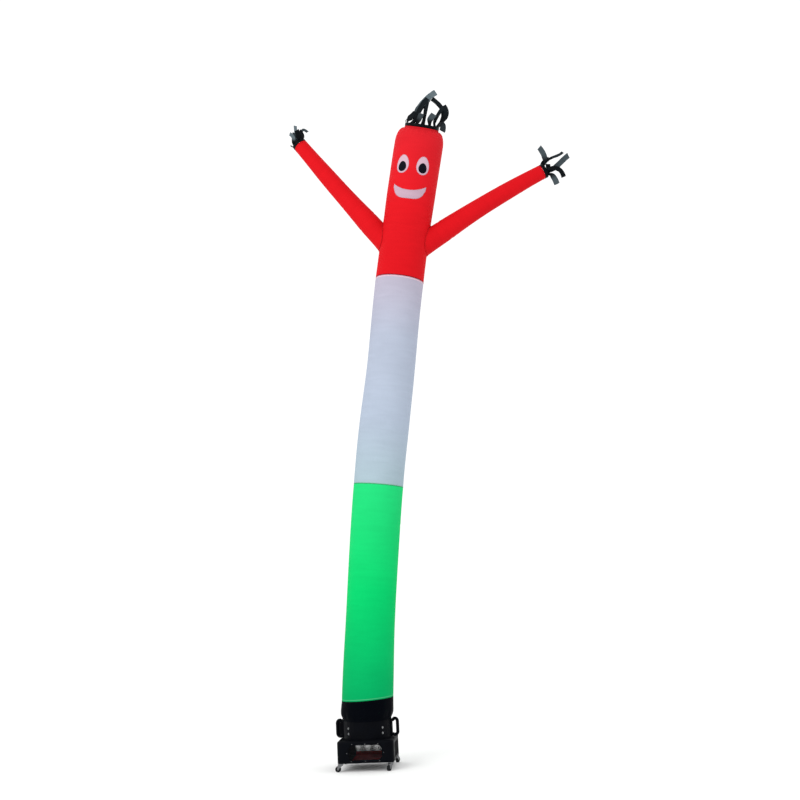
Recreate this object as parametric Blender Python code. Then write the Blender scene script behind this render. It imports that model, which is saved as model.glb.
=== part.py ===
"""Inflatable air dancer on a wheeled fan blower.

A fabric tube man, held up by the air of an axial blower, leans to one side
with both arms raised. Metres, +Z up, front towards -Y. The origin is the
centre of the underside of the blower's base; the castors reach FLOOR_Z.
"""
import math

import bmesh
import bpy
from mathutils import Matrix, Vector

# Driving dimensions of the blower
FLOOR_Z = -0.070
BASE_HALF = 0.245
BASE_HIGH = 0.185
BASE_CORNER = 0.042
PAD_HALF = 0.165
PAD_HIGH = 0.001
WALL = 0.005
WINDOW_HALF = 0.145
WINDOW_LOW = 0.028
WINDOW_HIGH = 0.150
WINDOW_CORNER = 0.040
COLLAR_R = 0.2085
COLLAR_HIGH = 0.430
FAN_R = 0.190
SHAFT_R = 0.008
MOUNT_Z = 0.2453
CASTOR_AT = 0.215
WHEEL_R = 0.025
WHEEL_SIDES = 16
TRAIL = 0.026
GAP = 0.0003

# Driving dimensions of the fabric
CLOTH = 0.0012
CUFF_LOW = 0.338
CUFF_HIGH = 0.516
GREEN_HIGH = 2.380
WHITE_HIGH = 4.256
SHOULDER = 5.555
CROWN_RISE = 0.145
VENT = 5.714
VENT_R = 0.160
ARM_ROOT_R = 0.106
ARM_TIP_R = 0.068
ROUND = 32

# The tube leans towards its right hand side: heading, slope and growth
LEAN_HEADING = math.radians(4.8)
LEAN_FROM = 0.376
LEAN_SLOPE = 0.0676
LEAN_GROWTH = 0.0134
LEAN_SWELL = 0.015

# Outer radius of the inflated tube by height
TUBE_RADII = (
    # height, radius
    (0.516, 0.2280),
    (1.250, 0.2175),
    (2.380, 0.2235),
    (2.800, 0.2260),
    (3.550, 0.2185),
    (4.256, 0.2220),
    (4.780, 0.2205),
    (5.100, 0.2250),
    (5.500, 0.2285),
)

# A soft crease runs across the front of the chest, from armpit to armpit
CREASE_Z = 4.735
CREASE_DEEP = 0.005
CREASE_WIDE = 0.030

# The cuff's upper seam was sewn a little askew, higher on the right
SEAM_TILT = math.radians(2.5)
# The crown nods forward over these heights, so the vent's front hangs lower
NOD = math.radians(17)
NOD_FROM = 5.45
NOD_TO = 5.70

RIGHTWARD = Vector((math.cos(LEAN_HEADING), math.sin(LEAN_HEADING), 0))
BACKWARD = Vector((-math.sin(LEAN_HEADING), math.cos(LEAN_HEADING), 0))
UP = Vector((0, 0, 1))
FACE_ANGLE = -math.pi / 2 - LEAN_HEADING


# Tools ---------------------------------------------------------------------


def clear_scene():
    for obj in list(bpy.data.objects):
        bpy.data.objects.remove(obj)


def finish(name, color, roughness, metallic=0.0):
    """A Principled material by name, made once."""
    material = bpy.data.materials.get(name)
    if material:
        return material
    material = bpy.data.materials.new(name)
    material.use_nodes = True
    shader = material.node_tree.nodes["Principled BSDF"]
    shader.inputs["Base Color"].default_value = (*color, 1)
    shader.inputs["Roughness"].default_value = roughness
    shader.inputs["Metallic"].default_value = metallic
    return material


def black_plastic():
    return finish("black_plastic", (0.018, 0.019, 0.022), 0.5)


def black_cloth():
    return finish("black_cloth", (0.012, 0.013, 0.016), 0.75)


def white_cloth():
    return finish("white_cloth", (0.80, 0.81, 0.84), 0.7)


def red_cloth():
    return finish("red_cloth", (0.72, 0.015, 0.012), 0.65)


def black_steel():
    return finish("black_steel", (0.03, 0.03, 0.032), 0.45, 0.5)


def steel():
    return finish("steel", (0.55, 0.56, 0.57), 0.35, 1.0)


def smoothstep(low, high, x):
    t = min(max((x - low) / (high - low), 0), 1)
    return t * t * (3 - 2 * t)


def mesh_from(name, bm):
    bmesh.ops.recalc_face_normals(bm, faces=bm.faces)
    mesh = bpy.data.meshes.new(name)
    bm.to_mesh(mesh)
    bm.free()
    return mesh


def place(name, mesh, material, at=(0, 0, 0), turn=0.0):
    """An object of a mesh, at a point, turned about Z."""
    obj = bpy.data.objects.new(name, mesh)
    bpy.context.scene.collection.objects.link(obj)
    if not mesh.materials:
        mesh.materials.append(material)
    mesh.shade_smooth()
    mesh.set_sharp_from_angle(angle=math.radians(35))
    obj.location = at
    obj.rotation_euler = (0, 0, turn)
    return obj


def model(name, bm, material):
    return place(name, mesh_from(name, bm), material)


def combine(target, name, bm, operation="DIFFERENCE"):
    """Cuts or joins a helper solid with a live Boolean."""
    helper = model(name, bm, black_plastic())
    helper.hide_render = True
    helper.display_type = "WIRE"
    boolean = target.modifiers.new(name, "BOOLEAN")
    boolean.operation = operation
    boolean.solver = "EXACT"
    boolean.object = helper


def settle(obj):
    """The mesh of an object as its Booleans leave it; the object goes."""
    bpy.context.view_layer.update()
    graph = bpy.context.evaluated_depsgraph_get()
    mesh = bpy.data.meshes.new_from_object(obj.evaluated_get(graph))
    helpers = [modifier.object for modifier in obj.modifiers]
    for leftover in helpers + [obj]:
        bpy.data.objects.remove(leftover)
    return mesh


def bridge(bm, low, high):
    """Quads between two loops of vertices with the same count."""
    count = len(low)
    for i in range(count):
        j = (i + 1) % count
        bm.faces.new((low[i], low[j], high[j], high[i]))


def stack(rings):
    """A capped solid through rings of points."""
    bm = bmesh.new()
    loops = [[bm.verts.new(point) for point in ring] for ring in rings]
    for low, high in zip(loops, loops[1:]):
        bridge(bm, low, high)
    bm.faces.new(loops[0][::-1])
    bm.faces.new(loops[-1])
    return bm


def shell(outer, inner):
    """A sleeve with a wall: up the outer rings, back down the inner ones."""
    bm = bmesh.new()
    loops = [[bm.verts.new(point) for point in ring] for ring in outer + inner[::-1]]
    for low, high in zip(loops, loops[1:] + loops[:1]):
        bridge(bm, low, high)
    return bm


def circle(centre, across, along, radius, count, start=0.0):
    points = []
    for i in range(count):
        a = start + 2 * math.pi * i / count
        points.append(centre + radius * (math.cos(a) * across + math.sin(a) * along))
    return points


def level_circle(radius, height, count, start=0.0):
    middle = Vector((0, 0, height))
    return circle(middle, Vector((1, 0, 0)), Vector((0, 1, 0)), radius, count, start)


def turned(profile, count):
    """A solid turned about Z through (radius, height) pairs, capped."""
    return stack([level_circle(r, z, count, math.pi / count) for r, z in profile])


def turned_ring(outer, inner, count):
    """A ring turned about Z, outer and inner profiles both from the bottom up."""
    start = math.pi / count
    rings = [[level_circle(r, z, count, start) for r, z in side] for side in (outer, inner)]
    return shell(*rings)


def box(low, high):
    bm = bmesh.new()
    bmesh.ops.create_cube(bm, size=1)
    for v in bm.verts:
        v.co = Vector([(a + b) / 2 + c * (b - a) for a, b, c in zip(low, high, v.co)])
    return bm


def rounded_outline(half_x, half_y, corner, steps=4):
    """Points round a rectangle with rounded corners."""
    points = []
    for quarter, (sx, sy) in enumerate(((1, 1), (-1, 1), (-1, -1), (1, -1))):
        for k in range(steps + 1):
            a = math.pi / 2 * (quarter + k / steps)
            x = sx * (half_x - corner) + corner * math.cos(a)
            y = sy * (half_y - corner) + corner * math.sin(a)
            points.append((x, y))
    return points


def rounded_block(half, corner, levels):
    """A square block with rounded corners through (height, inset) levels."""
    rings = []
    for height, inset in levels:
        outline = rounded_outline(half - inset, half - inset, corner - inset)
        rings.append([Vector((x, y, height)) for x, y in outline])
    return stack(rings)


def prism(outline, low, high):
    """An (x, z) outline drawn out along Y."""
    return stack([[Vector((x, y, z)) for x, z in outline] for y in (low, high)])


def moved(bm, matrix):
    bmesh.ops.transform(bm, matrix=matrix, verts=bm.verts)
    return bm


# The blower's housing ------------------------------------------------------


def base():
    """The moulded box, open at its windows, with a low pad under its middle."""
    edge = ((PAD_HIGH, 0.003), (0.004, 0), (0.170, 0), (0.180, 0.005), (BASE_HIGH, 0.014))
    body = model("blower_base", rounded_block(BASE_HALF, BASE_CORNER, edge), black_plastic())
    pad = rounded_block(PAD_HALF, BASE_CORNER, ((0, 0), (PAD_HIGH + 0.002, 0)))
    combine(body, "underside_pad", pad, "UNION")
    inside = ((WALL, WALL), (0.166, WALL), (BASE_HIGH - WALL, 0.017))
    combine(body, "base_inside", rounded_block(BASE_HALF, BASE_CORNER, inside))
    for name, turn in (("window_front_back", 0), ("window_left_right", math.pi / 2)):
        middle = (WINDOW_LOW + WINDOW_HIGH) / 2
        outline = rounded_outline(WINDOW_HALF, (WINDOW_HIGH - WINDOW_LOW) / 2, WINDOW_CORNER)
        window = prism([(x, middle + z) for x, z in outline], -0.3, 0.3)
        combine(body, name, moved(window, Matrix.Rotation(turn, 4, "Z")))
    hole = ((COLLAR_R - WALL, BASE_HIGH - 2 * WALL), (COLLAR_R - WALL, BASE_HIGH + WALL))
    combine(body, "base_outlet", turned(hole, ROUND))


def collar():
    low = BASE_HIGH + GAP
    outer = (
        (COLLAR_R + 0.0135, low),
        (COLLAR_R + 0.0135, low + 0.004),
        (COLLAR_R + 0.002, low + 0.005),
        (COLLAR_R, low + 0.006),
        (COLLAR_R, COLLAR_HIGH - 0.010),
        (COLLAR_R + 0.003, COLLAR_HIGH - 0.007),
        (COLLAR_R + 0.003, COLLAR_HIGH - 0.002),
        (COLLAR_R + 0.001, COLLAR_HIGH),
    )
    bore = COLLAR_R - WALL
    inner = ((bore, low), (bore, COLLAR_HIGH))
    model("blower_collar", turned_ring(outer, inner, ROUND), black_plastic())


def guards():
    """A lattice of thin bars behind each window, against the wall's inside."""
    half, low, high = WINDOW_HALF + 0.005, WINDOW_LOW - 0.005, WINDOW_HIGH + 0.005
    bar, thick = 0.003, 0.002
    columns, rows = 4, 5
    wide = (2 * half - bar) / columns
    tall = (high - low - bar) / rows
    near = BASE_HALF - WALL - GAP
    plate = model("guard", box((-half, -near, low), (half, -near + thick, high)), black_steel())
    holes = bmesh.new()
    for i in range(columns):
        for j in range(rows):
            x, z = -half + bar + i * wide, low + bar + j * tall
            far_corner = (x + wide - bar, -near + 2 * bar, z + tall - bar)
            holes.from_mesh(mesh_from("hole", box((x, -near - bar, z), far_corner)))
    combine(plate, "guard_holes", holes)
    mesh = settle(plate)
    for k, name in enumerate(("front", "right", "back", "left")):
        place(f"guard_{name}", mesh, black_steel(), turn=k * math.pi / 2)


def handles():
    """A D loop on a back plate, on each side of the collar."""
    tube, reach, bend = 0.0145, 0.2645, 0.025
    low, high = 0.2010, 0.3400
    root_low, root_high = low + 0.0065, high - 0.018
    near = COLLAR_R * math.cos(math.pi / ROUND) + GAP
    far = near + 0.012
    path = [Vector((far - 0.002, 0, root_low))]
    for corner, first in ((low + bend, -90), (high - bend, 0)):
        for k in range(5):
            a = math.radians(first + 90 * k / 4)
            across = reach - bend + bend * math.cos(a)
            path.append(Vector((across, 0, corner + bend * math.sin(a))))
    path.append(Vector((far - 0.002, 0, root_high)))
    rings = []
    for k, point in enumerate(path):
        heading = (path[min(k + 1, len(path) - 1)] - path[max(k - 1, 0)]).normalized()
        side = Vector((0, 1, 0))
        rings.append(circle(point, heading.cross(side), side, tube, 10))
    loop = model("handle", stack(rings), black_plastic())
    plate = box((near, -0.025, root_low - tube), (far, 0.025, CUFF_LOW - 0.002))
    combine(loop, "handle_plate", plate, "UNION")
    mesh = settle(loop)
    place("handle_right", mesh, black_plastic())
    place("handle_left", mesh, black_plastic(), turn=math.pi)


def switch_box():
    """The wired box beside the left handle, with the cord's gland behind."""
    turn = math.radians(157.5)
    near = COLLAR_R * math.cos(math.pi / ROUND) + GAP
    deep, half, low, high = 0.066, 0.043, 0.200, 0.335
    body = box((near, -half, low), (near + deep, half, high))
    edges = [e for e in body.edges if (e.verts[0].co.x + e.verts[1].co.x) / 2 > near + deep / 4]
    bmesh.ops.bevel(body, geom=edges, offset=0.005, segments=2, affect="EDGES", profile=0.5)
    place("switch_box", mesh_from("switch_box", body), black_plastic(), turn=turn)
    profile = ((0.0075, -0.019), (0.0095, -0.015), (0.0095, -0.007), (0.0120, -0.006), (0.0120, 0))
    at = Matrix.Rotation(turn, 3, "Z") @ Vector((near + deep / 2, -half - GAP, (low + high) / 2))
    gland = moved(turned(profile, 12), Matrix.Rotation(math.radians(-90), 4, "X"))
    place("gland", mesh_from("gland", gland), black_plastic(), at=at, turn=turn)


def bolts():
    """Pairs of bolt heads where the motor mount's tabs meet the collar."""
    near = COLLAR_R * math.cos(math.pi / ROUND) + GAP
    head = turned(((0.010, 0), (0.010, 0.0015), (0.007, 0.0015), (0.007, 0.006)), 8)
    mesh = mesh_from("bolt", moved(head, Matrix.Rotation(math.pi / 2, 4, "Y")))
    for k, corner in enumerate(("back_right", "back_left", "front_left", "front_right")):
        turn = math.radians(45 + 90 * k)
        for level, z in (("low", 0.236), ("high", 0.281)):
            at = (near * math.cos(turn), near * math.sin(turn), z)
            place(f"bolt_{corner}_{level}", mesh, steel(), at=at, turn=turn)


def floor_panel():
    """A thin red panel that lies in the base's pan, its back edge turned up."""
    red = finish("red_panel", (0.50, 0.02, 0.02), 0.6)
    low, thick, left, right, back, lip_top = WALL + GAP, 0.002, -0.14, 0.13, 0.226, 0.036
    panel_body = model("floor_panel", box((left, -0.20, low), (right, back, low + thick)), red)
    lip = box((left, back - thick, low), (right, back, lip_top))
    combine(panel_body, "floor_panel_lip", lip, "UNION")


# The fan -------------------------------------------------------------------


def motor():
    """An upright motor under its mount, with the shaft that bears the fan."""
    top = MOUNT_Z - GAP
    profile = (
        (0.030, top - 0.120),
        (0.062, top - 0.117),
        (0.072, top - 0.106),
        (0.072, top - 0.008),
        (0.066, top),
        (SHAFT_R, top),
        (SHAFT_R, 0.2995),
    )
    model("motor", turned(profile, 20), finish("motor_paint", (0.10, 0.10, 0.11), 0.45, 0.6))


def motor_mount():
    """Two crossed bars with turned ends against the collar, and a hub plate."""
    end = (COLLAR_R - WALL) * math.cos(math.pi / ROUND) - GAP
    tab, wide, plate = 0.003, 0.030, 0.006
    low, high = 0.222, 0.295
    top = MOUNT_Z + plate
    right = [(end, low), (end, high), (end - tab, high), (end - tab, top)]
    left = [(-x, z) for x, z in right[::-1]]
    under = [(-end + tab, MOUNT_Z), (end - tab, MOUNT_Z)]
    outline = right + left + [(-end + tab, low), under[0], under[1], (end - tab, low)]
    hub = model("motor_mount", turned(((0.062, MOUNT_Z), (0.062, top)), 24), steel())
    for name, angle in (("mount_bar_a", 45), ("mount_bar_b", 135)):
        turn = Matrix.Rotation(math.radians(angle), 4, "Z")
        bar = moved(prism(outline, -wide / 2, wide / 2), turn)
        combine(hub, name, bar, "UNION")
    bore = turned(((SHAFT_R + 0.001, MOUNT_Z - plate), (SHAFT_R + 0.001, top + plate)), 16)
    combine(hub, "mount_bore", bore)


def fan():
    """Five twisted blades on a hub with a blind bore for the shaft."""
    middle = 0.290
    hub = model("fan", turned(((0.040, 0.268), (0.040, 0.308), (0.030, 0.313)), 20), black_plastic())
    blades = 5
    for k in range(blades):
        rings = []
        for step in range(4):
            t = step / 3
            reach = 0.034 + (FAN_R - 0.034) * t
            half = 0.030 + 0.022 * t
            pitch = math.radians(38 - 16 * t)
            wide = Vector((0, math.cos(pitch), math.sin(pitch)))
            thick = Vector((0, -math.sin(pitch), math.cos(pitch))) * 0.0015
            centre = Vector((reach, 0, middle))
            corners = [centre - half * wide - thick, centre + half * wide - thick]
            corners += [centre + half * wide + thick, centre - half * wide + thick]
            rings.append(corners)
        blade = moved(stack(rings), Matrix.Rotation(2 * math.pi * k / blades, 4, "Z"))
        combine(hub, f"blade_{k}", blade, "UNION")
    combine(hub, "fan_bore", turned(((SHAFT_R + 0.0005, 0.26), (SHAFT_R + 0.0005, 0.300)), 16))


# Castors -------------------------------------------------------------------


def fork_mesh():
    """A bent fork: crown under the swivel, two legs to the axle, the axle."""
    axle_z = FLOOR_Z + WHEEL_R * math.cos(math.pi / WHEEL_SIDES)
    leg = 0.0075
    outline = [(-0.017, -0.0036), (0.017, -0.0036), (0.028, -0.012)]
    for k in range(5):
        a = math.radians(30 - 60 * k)
        outline.append((TRAIL + leg * math.cos(a), axle_z + leg * math.sin(a)))
    outline.append((-0.017, -0.014))
    body = model("fork", prism(outline, -0.0148, 0.0148), steel())
    combine(body, "wheel_room", box((-0.05, -0.0113, -0.10), (0.08, 0.0113, -0.0150)))
    pin = turned(((0.003, -0.0130), (0.003, 0.0130)), 12)
    to_axle = Matrix.Translation((TRAIL, 0, axle_z)) @ Matrix.Rotation(math.pi / 2, 4, "X")
    combine(body, "axle", moved(pin, to_axle), "UNION")
    return settle(body)


def wheel_mesh():
    """A wheel turned about Y, dished beside a hub with a bore."""
    hub = [(0.0036, 0.0100), (0.0110, 0.0100)]
    half = hub + [(0.0125, 0.0080), (0.0210, 0.0090), (WHEEL_R, 0.0070)]
    profile = half + [(radius, -y) for radius, y in half[::-1]]
    bm = bmesh.new()
    loops = []
    for radius, y in profile:
        middle, start = Vector((0, y, 0)), math.pi / WHEEL_SIDES
        ring = circle(middle, Vector((1, 0, 0)), UP, radius, WHEEL_SIDES, start)
        loops.append([bm.verts.new(point) for point in ring])
    for low, high in zip(loops, loops[1:] + loops[:1]):
        bridge(bm, low, high)
    return mesh_from("wheel", bm)


def castors():
    fork, wheel = fork_mesh(), wheel_mesh()
    plate = mesh_from("castor_plate", box((-0.025, -0.025, -0.0033), (0.025, 0.025, PAD_HIGH - GAP)))
    axle_z = FLOOR_Z + WHEEL_R * math.cos(math.pi / WHEEL_SIDES)
    rubber = finish("grey_rubber", (0.10, 0.10, 0.10), 0.7)
    for corner, side_x, side_y, trail in (
        ("front_left", -1, -1, 180),
        ("front_right", 1, -1, 235),
        ("back_right", 1, 1, 57),
        ("back_left", -1, 1, 150),
    ):
        x, y, turn = side_x * CASTOR_AT, side_y * CASTOR_AT, math.radians(trail)
        place(f"castor_plate_{corner}", plate, steel(), at=(x, y, 0))
        place(f"castor_fork_{corner}", fork, steel(), at=(x, y, 0), turn=turn)
        axle = (x + TRAIL * math.cos(turn), y + TRAIL * math.sin(turn), axle_z)
        place(f"castor_wheel_{corner}", wheel, rubber, at=axle, turn=turn)


# The inflated tube ---------------------------------------------------------


def lean(z):
    """How far the tube's centre stands to the right at a height."""
    s = max(z - LEAN_FROM, 0)
    swell = LEAN_SWELL * math.exp(-(((z - 3.4) / 0.55) ** 2))
    return LEAN_SLOPE * s + LEAN_GROWTH * s * s + swell


def tube_axes(z):
    """Right, back and up of the tube's cross-section, level at the collar."""
    slope = (lean(z + 0.05) - lean(z - 0.05)) / 0.1
    askew = SEAM_TILT * smoothstep(0.40, CUFF_HIGH, z) * (1 - smoothstep(CUFF_HIGH, 1.0, z))
    angle = math.atan(slope) * smoothstep(0.52, 1.10, z) - askew
    right = math.cos(angle) * RIGHTWARD - math.sin(angle) * UP
    normal = math.sin(angle) * RIGHTWARD + math.cos(angle) * UP
    nod = NOD * smoothstep(NOD_FROM, NOD_TO, z)
    back = math.cos(nod) * BACKWARD + math.sin(nod) * normal
    return right, back, math.cos(nod) * normal - math.sin(nod) * BACKWARD


def tube_radius(z):
    for (z0, r0), (z1, r1) in zip(TUBE_RADII, TUBE_RADII[1:]):
        if z <= z1:
            return r0 + (r1 - r0) * smoothstep(z0, z1, z)
    return TUBE_RADII[-1][1]


def on_tube(angle, z, out=0.0, radius=None):
    """A point on the tube: angle from its right side, and centre height."""
    right, back, _ = tube_axes(z)
    crease = CREASE_DEEP * math.exp(-(((z - CREASE_Z) / CREASE_WIDE) ** 2))
    crease *= max(math.cos(angle - FACE_ANGLE), 0) ** 2
    r = (radius or tube_radius(z)) + out - crease
    return lean(z) * RIGHTWARD + z * UP + r * (math.cos(angle) * right + math.sin(angle) * back)


def tube_ring(z, out=0.0, radius=None, count=ROUND):
    return [on_tube(2 * math.pi * i / count, z, out, radius) for i in range(count)]


def heights(low, high, spans):
    return [low + (high - low) * k / spans for k in range(spans + 1)]


def panel(name, levels, material):
    """A sewn panel of the tube, half a gap short of its neighbours."""
    levels = [levels[0] + GAP / 2, *levels[1:-1], levels[-1] - GAP / 2]
    outer, inner = ([tube_ring(z, out) for z in levels] for out in (0, -CLOTH))
    model(name, shell(outer, inner), material)


def cuff():
    """A black sleeve, its hem drawn in on the collar with soft gathers."""
    count, gathers = 40, 11
    rows = (
        # height, outer radius, gather depth, thickness
        (CUFF_LOW, 0.2126, 0.0, 0.0030),
        (CUFF_LOW + 0.014, 0.2126, 0.0, 0.0030),
        (CUFF_LOW + 0.019, 0.2152, 0.0012, 0.0020),
        (0.374, 0.2222, 0.0028, CLOTH),
        (0.394, 0.2276, 0.0030, CLOTH),
        (0.416, 0.2303, 0.0020, CLOTH),
        (0.455, 0.2300, 0.0010, CLOTH),
        (CUFF_HIGH - GAP / 2, tube_radius(CUFF_HIGH), 0.0, CLOTH),
    )
    outer, inner = [], []
    for z, radius, deep, thick in rows:
        for side, inset in ((outer, 0), (inner, thick)):
            ring = []
            for i in range(count):
                a = 2 * math.pi * i / count
                gather = deep * math.sin(gathers * a + 1.2 * math.sin(2 * a))
                ring.append(on_tube(a, z, gather - inset, radius))
            side.append(ring)
    model("cuff", shell(outer, inner), black_cloth())


def crown_rings(inset):
    """The shoulder of the head closes in a quarter ellipse, then the rim."""
    swell = tube_radius(SHOULDER) - VENT_R
    rings = []
    for k in range(6):
        t = math.pi / 2 * k / 5
        z = SHOULDER + (CROWN_RISE - inset) * math.sin(t)
        rings.append(tube_ring(z, radius=VENT_R - inset + swell * math.cos(t)))
    rings.append(tube_ring(VENT - GAP / 2, radius=VENT_R - inset))
    return rings


CHEST = heights(WHITE_HIGH, CREASE_Z - 0.07, 3) + heights(CREASE_Z - 0.035, CREASE_Z + 0.035, 2)
HEAD = heights(CREASE_Z + 0.08, SHOULDER, 5)


def red_panel():
    """Chest, head and crown in one, with a hole for each arm."""
    levels = [WHITE_HIGH + GAP / 2, *CHEST[1:], *HEAD[:-1]]
    outer = [tube_ring(z) for z in levels] + crown_rings(0)
    inner = [tube_ring(z, -CLOTH) for z in levels] + crown_rings(CLOTH)
    body = model("panel_red", shell(outer, inner), red_cloth())
    for side in ARM_LINES:
        combine(body, f"hole_{side}", stack(arm_rings(ARM_LINES[side], -CLOTH, last=0.4)))


# Arms ----------------------------------------------------------------------


def at(right, back, up):
    return right * RIGHTWARD + back * BACKWARD + up * UP


# Each arm's centre line runs from inside the chest to the hand
ARM_LINES = {
    "right": (
        at(0.600, -0.012, 4.517),
        at(0.977, -0.030, 4.762),
        at(1.444, 0.020, 5.053),
        at(1.848, 0.050, 5.250),
    ),
    "left": (
        at(0.407, 0.000, 4.570),
        at(0.155, 0.070, 4.900),
        at(-0.182, 0.166, 5.354),
        at(-0.417, 0.250, 5.690),
    ),
}


def bezier(points, t):
    a, b, c, d = points
    s = 1 - t
    return s**3 * a + 3 * s * s * t * b + 3 * s * t * t * c + t**3 * d


def bezier_heading(points, t):
    return (bezier(points, min(t + 0.01, 1)) - bezier(points, max(t - 0.01, 0))).normalized()


def arm_axes(line, t):
    """Across, back and along of an arm's cross-section."""
    along = bezier_heading(line, t)
    across = BACKWARD.cross(along).normalized()
    return across, along.cross(across), along


def arm_radius(t):
    """Tapers to the hand, a little fuller near the shoulder."""
    return ARM_ROOT_R + (ARM_TIP_R - ARM_ROOT_R) * t + 0.004 * math.exp(-(((t - 0.24) / 0.1) ** 2))


def arm_rings(line, out, last=1.0, steps=11, count=16):
    rings = []
    for k in range(steps + 1):
        t = last * k / steps
        across, back, _ = arm_axes(line, t)
        rings.append(circle(bezier(line, t), across, back, arm_radius(t) + out, count))
    return rings


def arms():
    """Sleeves trimmed at the root to stand on the chest's skin."""
    for side, line in ARM_LINES.items():
        sleeve = shell(arm_rings(line, 0), arm_rings(line, -CLOTH))
        arm = model(f"arm_{side}", sleeve, red_cloth())
        trunk = [tube_ring(z, GAP) for z in [WHITE_HIGH - 0.05, *CHEST, *HEAD[:3]]]
        combine(arm, f"trim_{side}", stack(trunk))


# Face ----------------------------------------------------------------------


def patch(name, outline, low, thick, material, rings):
    """A thin piece sewn on the face, from an outline about its middle.

    The outline is a list of (sideways, up) offsets from a centre given first.
    """
    (middle_angle, middle_z), *points = outline
    bm = bmesh.new()
    sides = []
    for out in (low, low + thick):
        hub = bm.verts.new(on_tube(middle_angle, middle_z, out))
        loops = []
        for k in range(1, rings + 1):
            loop = []
            for sideways, up in points:
                angle = middle_angle + sideways * k / rings / tube_radius(middle_z)
                loop.append(bm.verts.new(on_tube(angle, middle_z + up * k / rings, out)))
            loops.append(loop)
        for i in range(len(points)):
            bm.faces.new((hub, loops[0][i], loops[0][(i + 1) % len(points)]))
        for near, far in zip(loops, loops[1:]):
            bridge(bm, near, far)
        sides.append(loops[-1])
    bridge(bm, *sides)
    model(name, bm, material)


def eyes():
    """White eggs, wider low down, each with a black pupil on it."""
    aside, eye_z = math.radians(24.6), 5.2885
    lift, thick = 0.0005, 0.001
    count = 20
    for side, sign in (("left", -1), ("right", 1)):
        for name, half_wide, half_tall, drop, low, rings, material in (
            ("eye", 0.0610, 0.0865, 0, lift, 3, white_cloth()),
            ("pupil", 0.0390, 0.0475, 0.023, 2 * lift + thick, 2, black_cloth()),
        ):
            outline = [(FACE_ANGLE + sign * aside, eye_z - drop)]
            for k in range(count):
                a = 2 * math.pi * k / count
                egg = half_wide * (1 - 0.12 * math.sin(a))
                outline.append((egg * math.cos(a), half_tall * math.sin(a)))
            patch(f"{name}_{side}", outline, low, thick, material, rings)


def mouth():
    """A smiling crescent with upright ends, rounded off below."""
    half_span, columns = math.radians(41), 20
    corner_z, end, rounding = 5.105, 0.046, 0.022
    top_sag, low_sag = 0.057, 0.091
    bm = bmesh.new()
    layers = []
    for out in (0.0005, 0.0015):
        rows = []
        for k in range(columns + 1):
            u = 2 * k / columns - 1
            angle = FACE_ANGLE + half_span * u
            high = corner_z - top_sag * (1 - u * u)
            low = corner_z - end - low_sag * (1 - abs(u) ** 3)
            low += rounding * smoothstep(0.75, 1, abs(u)) ** 2
            rows.append([bm.verts.new(on_tube(angle, z, out)) for z in (low, high)])
        for near, far in zip(rows, rows[1:]):
            bm.faces.new((near[0], far[0], far[1], near[1]))
        layers.append([row[0] for row in rows] + [row[1] for row in rows[::-1]])
    bridge(bm, *layers)
    model("mouth", bm, white_cloth())


# Streamers -----------------------------------------------------------------


def through(start, near, far, end):
    """Guide points of the curve that passes near and far at its thirds."""
    first = (18 * near - 9 * far + 2 * end - 5 * start) / 6
    second = (18 * far - 9 * near + 2 * start - 5 * end) / 6
    return start, first, second, end


def streamers(name, centre, axes, radius, high, count, ribbons, to_world):
    """A narrow band on a vent's rim, with ribbons drawn up out of it.

    A ribbon grows from one slot of the band's top edge on a curve through
    its three points and widens to its own width. A long one also turns its
    broad side to the front or the back.
    """
    across, back, out = axes
    thick, section = 0.0015, 0.045
    bm = bmesh.new()

    def loop(r, h):
        return [bm.verts.new(point) for point in circle(centre + h * out, across, back, r, count)]

    low_out, high_out = loop(radius, GAP / 2), loop(radius, high)
    low_in, high_in = loop(radius - thick, GAP / 2), loop(radius - thick, high)
    bridge(bm, low_out, high_out)
    bridge(bm, high_in, low_in)
    bridge(bm, low_in, low_out)
    for i in range(count):
        j = (i + 1) % count
        root = [high_out[i], high_out[j], high_in[j], high_in[i]]
        if i not in ribbons:
            bm.faces.new(root)
            continue
        wide, *stops = ribbons[i]
        side = root[1].co - root[0].co
        root_wide = side.length
        stops = [sum((v.co for v in root), Vector()) / 4, *[to_world(*stop) for stop in stops]]
        length = sum((b - a).length for a, b in zip(stops, stops[1:]))
        line = through(*stops)
        sections = max(3, round(length / section))
        frontality = smoothstep(0.05, 0.15, length)
        heading, edge = out.copy(), side.normalized()
        for k in range(1, sections + 1):
            t = k / sections
            turned_to = bezier_heading(line, t)
            side.rotate(heading.rotation_difference(turned_to))
            heading = turned_to
            frontal = heading.cross(BACKWARD).normalized()
            if frontal.dot(edge) < 0:
                frontal = -frontal
            edge = side.normalized().lerp(frontal, frontality * smoothstep(0, 0.6, t)).normalized()
            spread = root_wide + (wide - root_wide) * smoothstep(0, 0.5, t)
            half = spread / 2 * edge
            rise = thick / 2 * edge.cross(heading).normalized()
            middle = bezier(line, t)
            front, behind = middle + rise, middle - rise
            corners = (front - half, front + half, behind + half, behind - half)
            ring = [bm.verts.new(corner) for corner in corners]
            (a, b, c, d), (e, f, g, h) = root, ring
            # both broad sides are split along the same diagonal, so a twist keeps them apart
            for face in ((a, b, f), (a, f, e), (b, c, g, f), (c, d, g), (d, h, g), (d, a, e, h)):
                bm.faces.new(face)
            root = ring
        bm.faces.new(root)
    model(name, bm, black_cloth())


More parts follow.
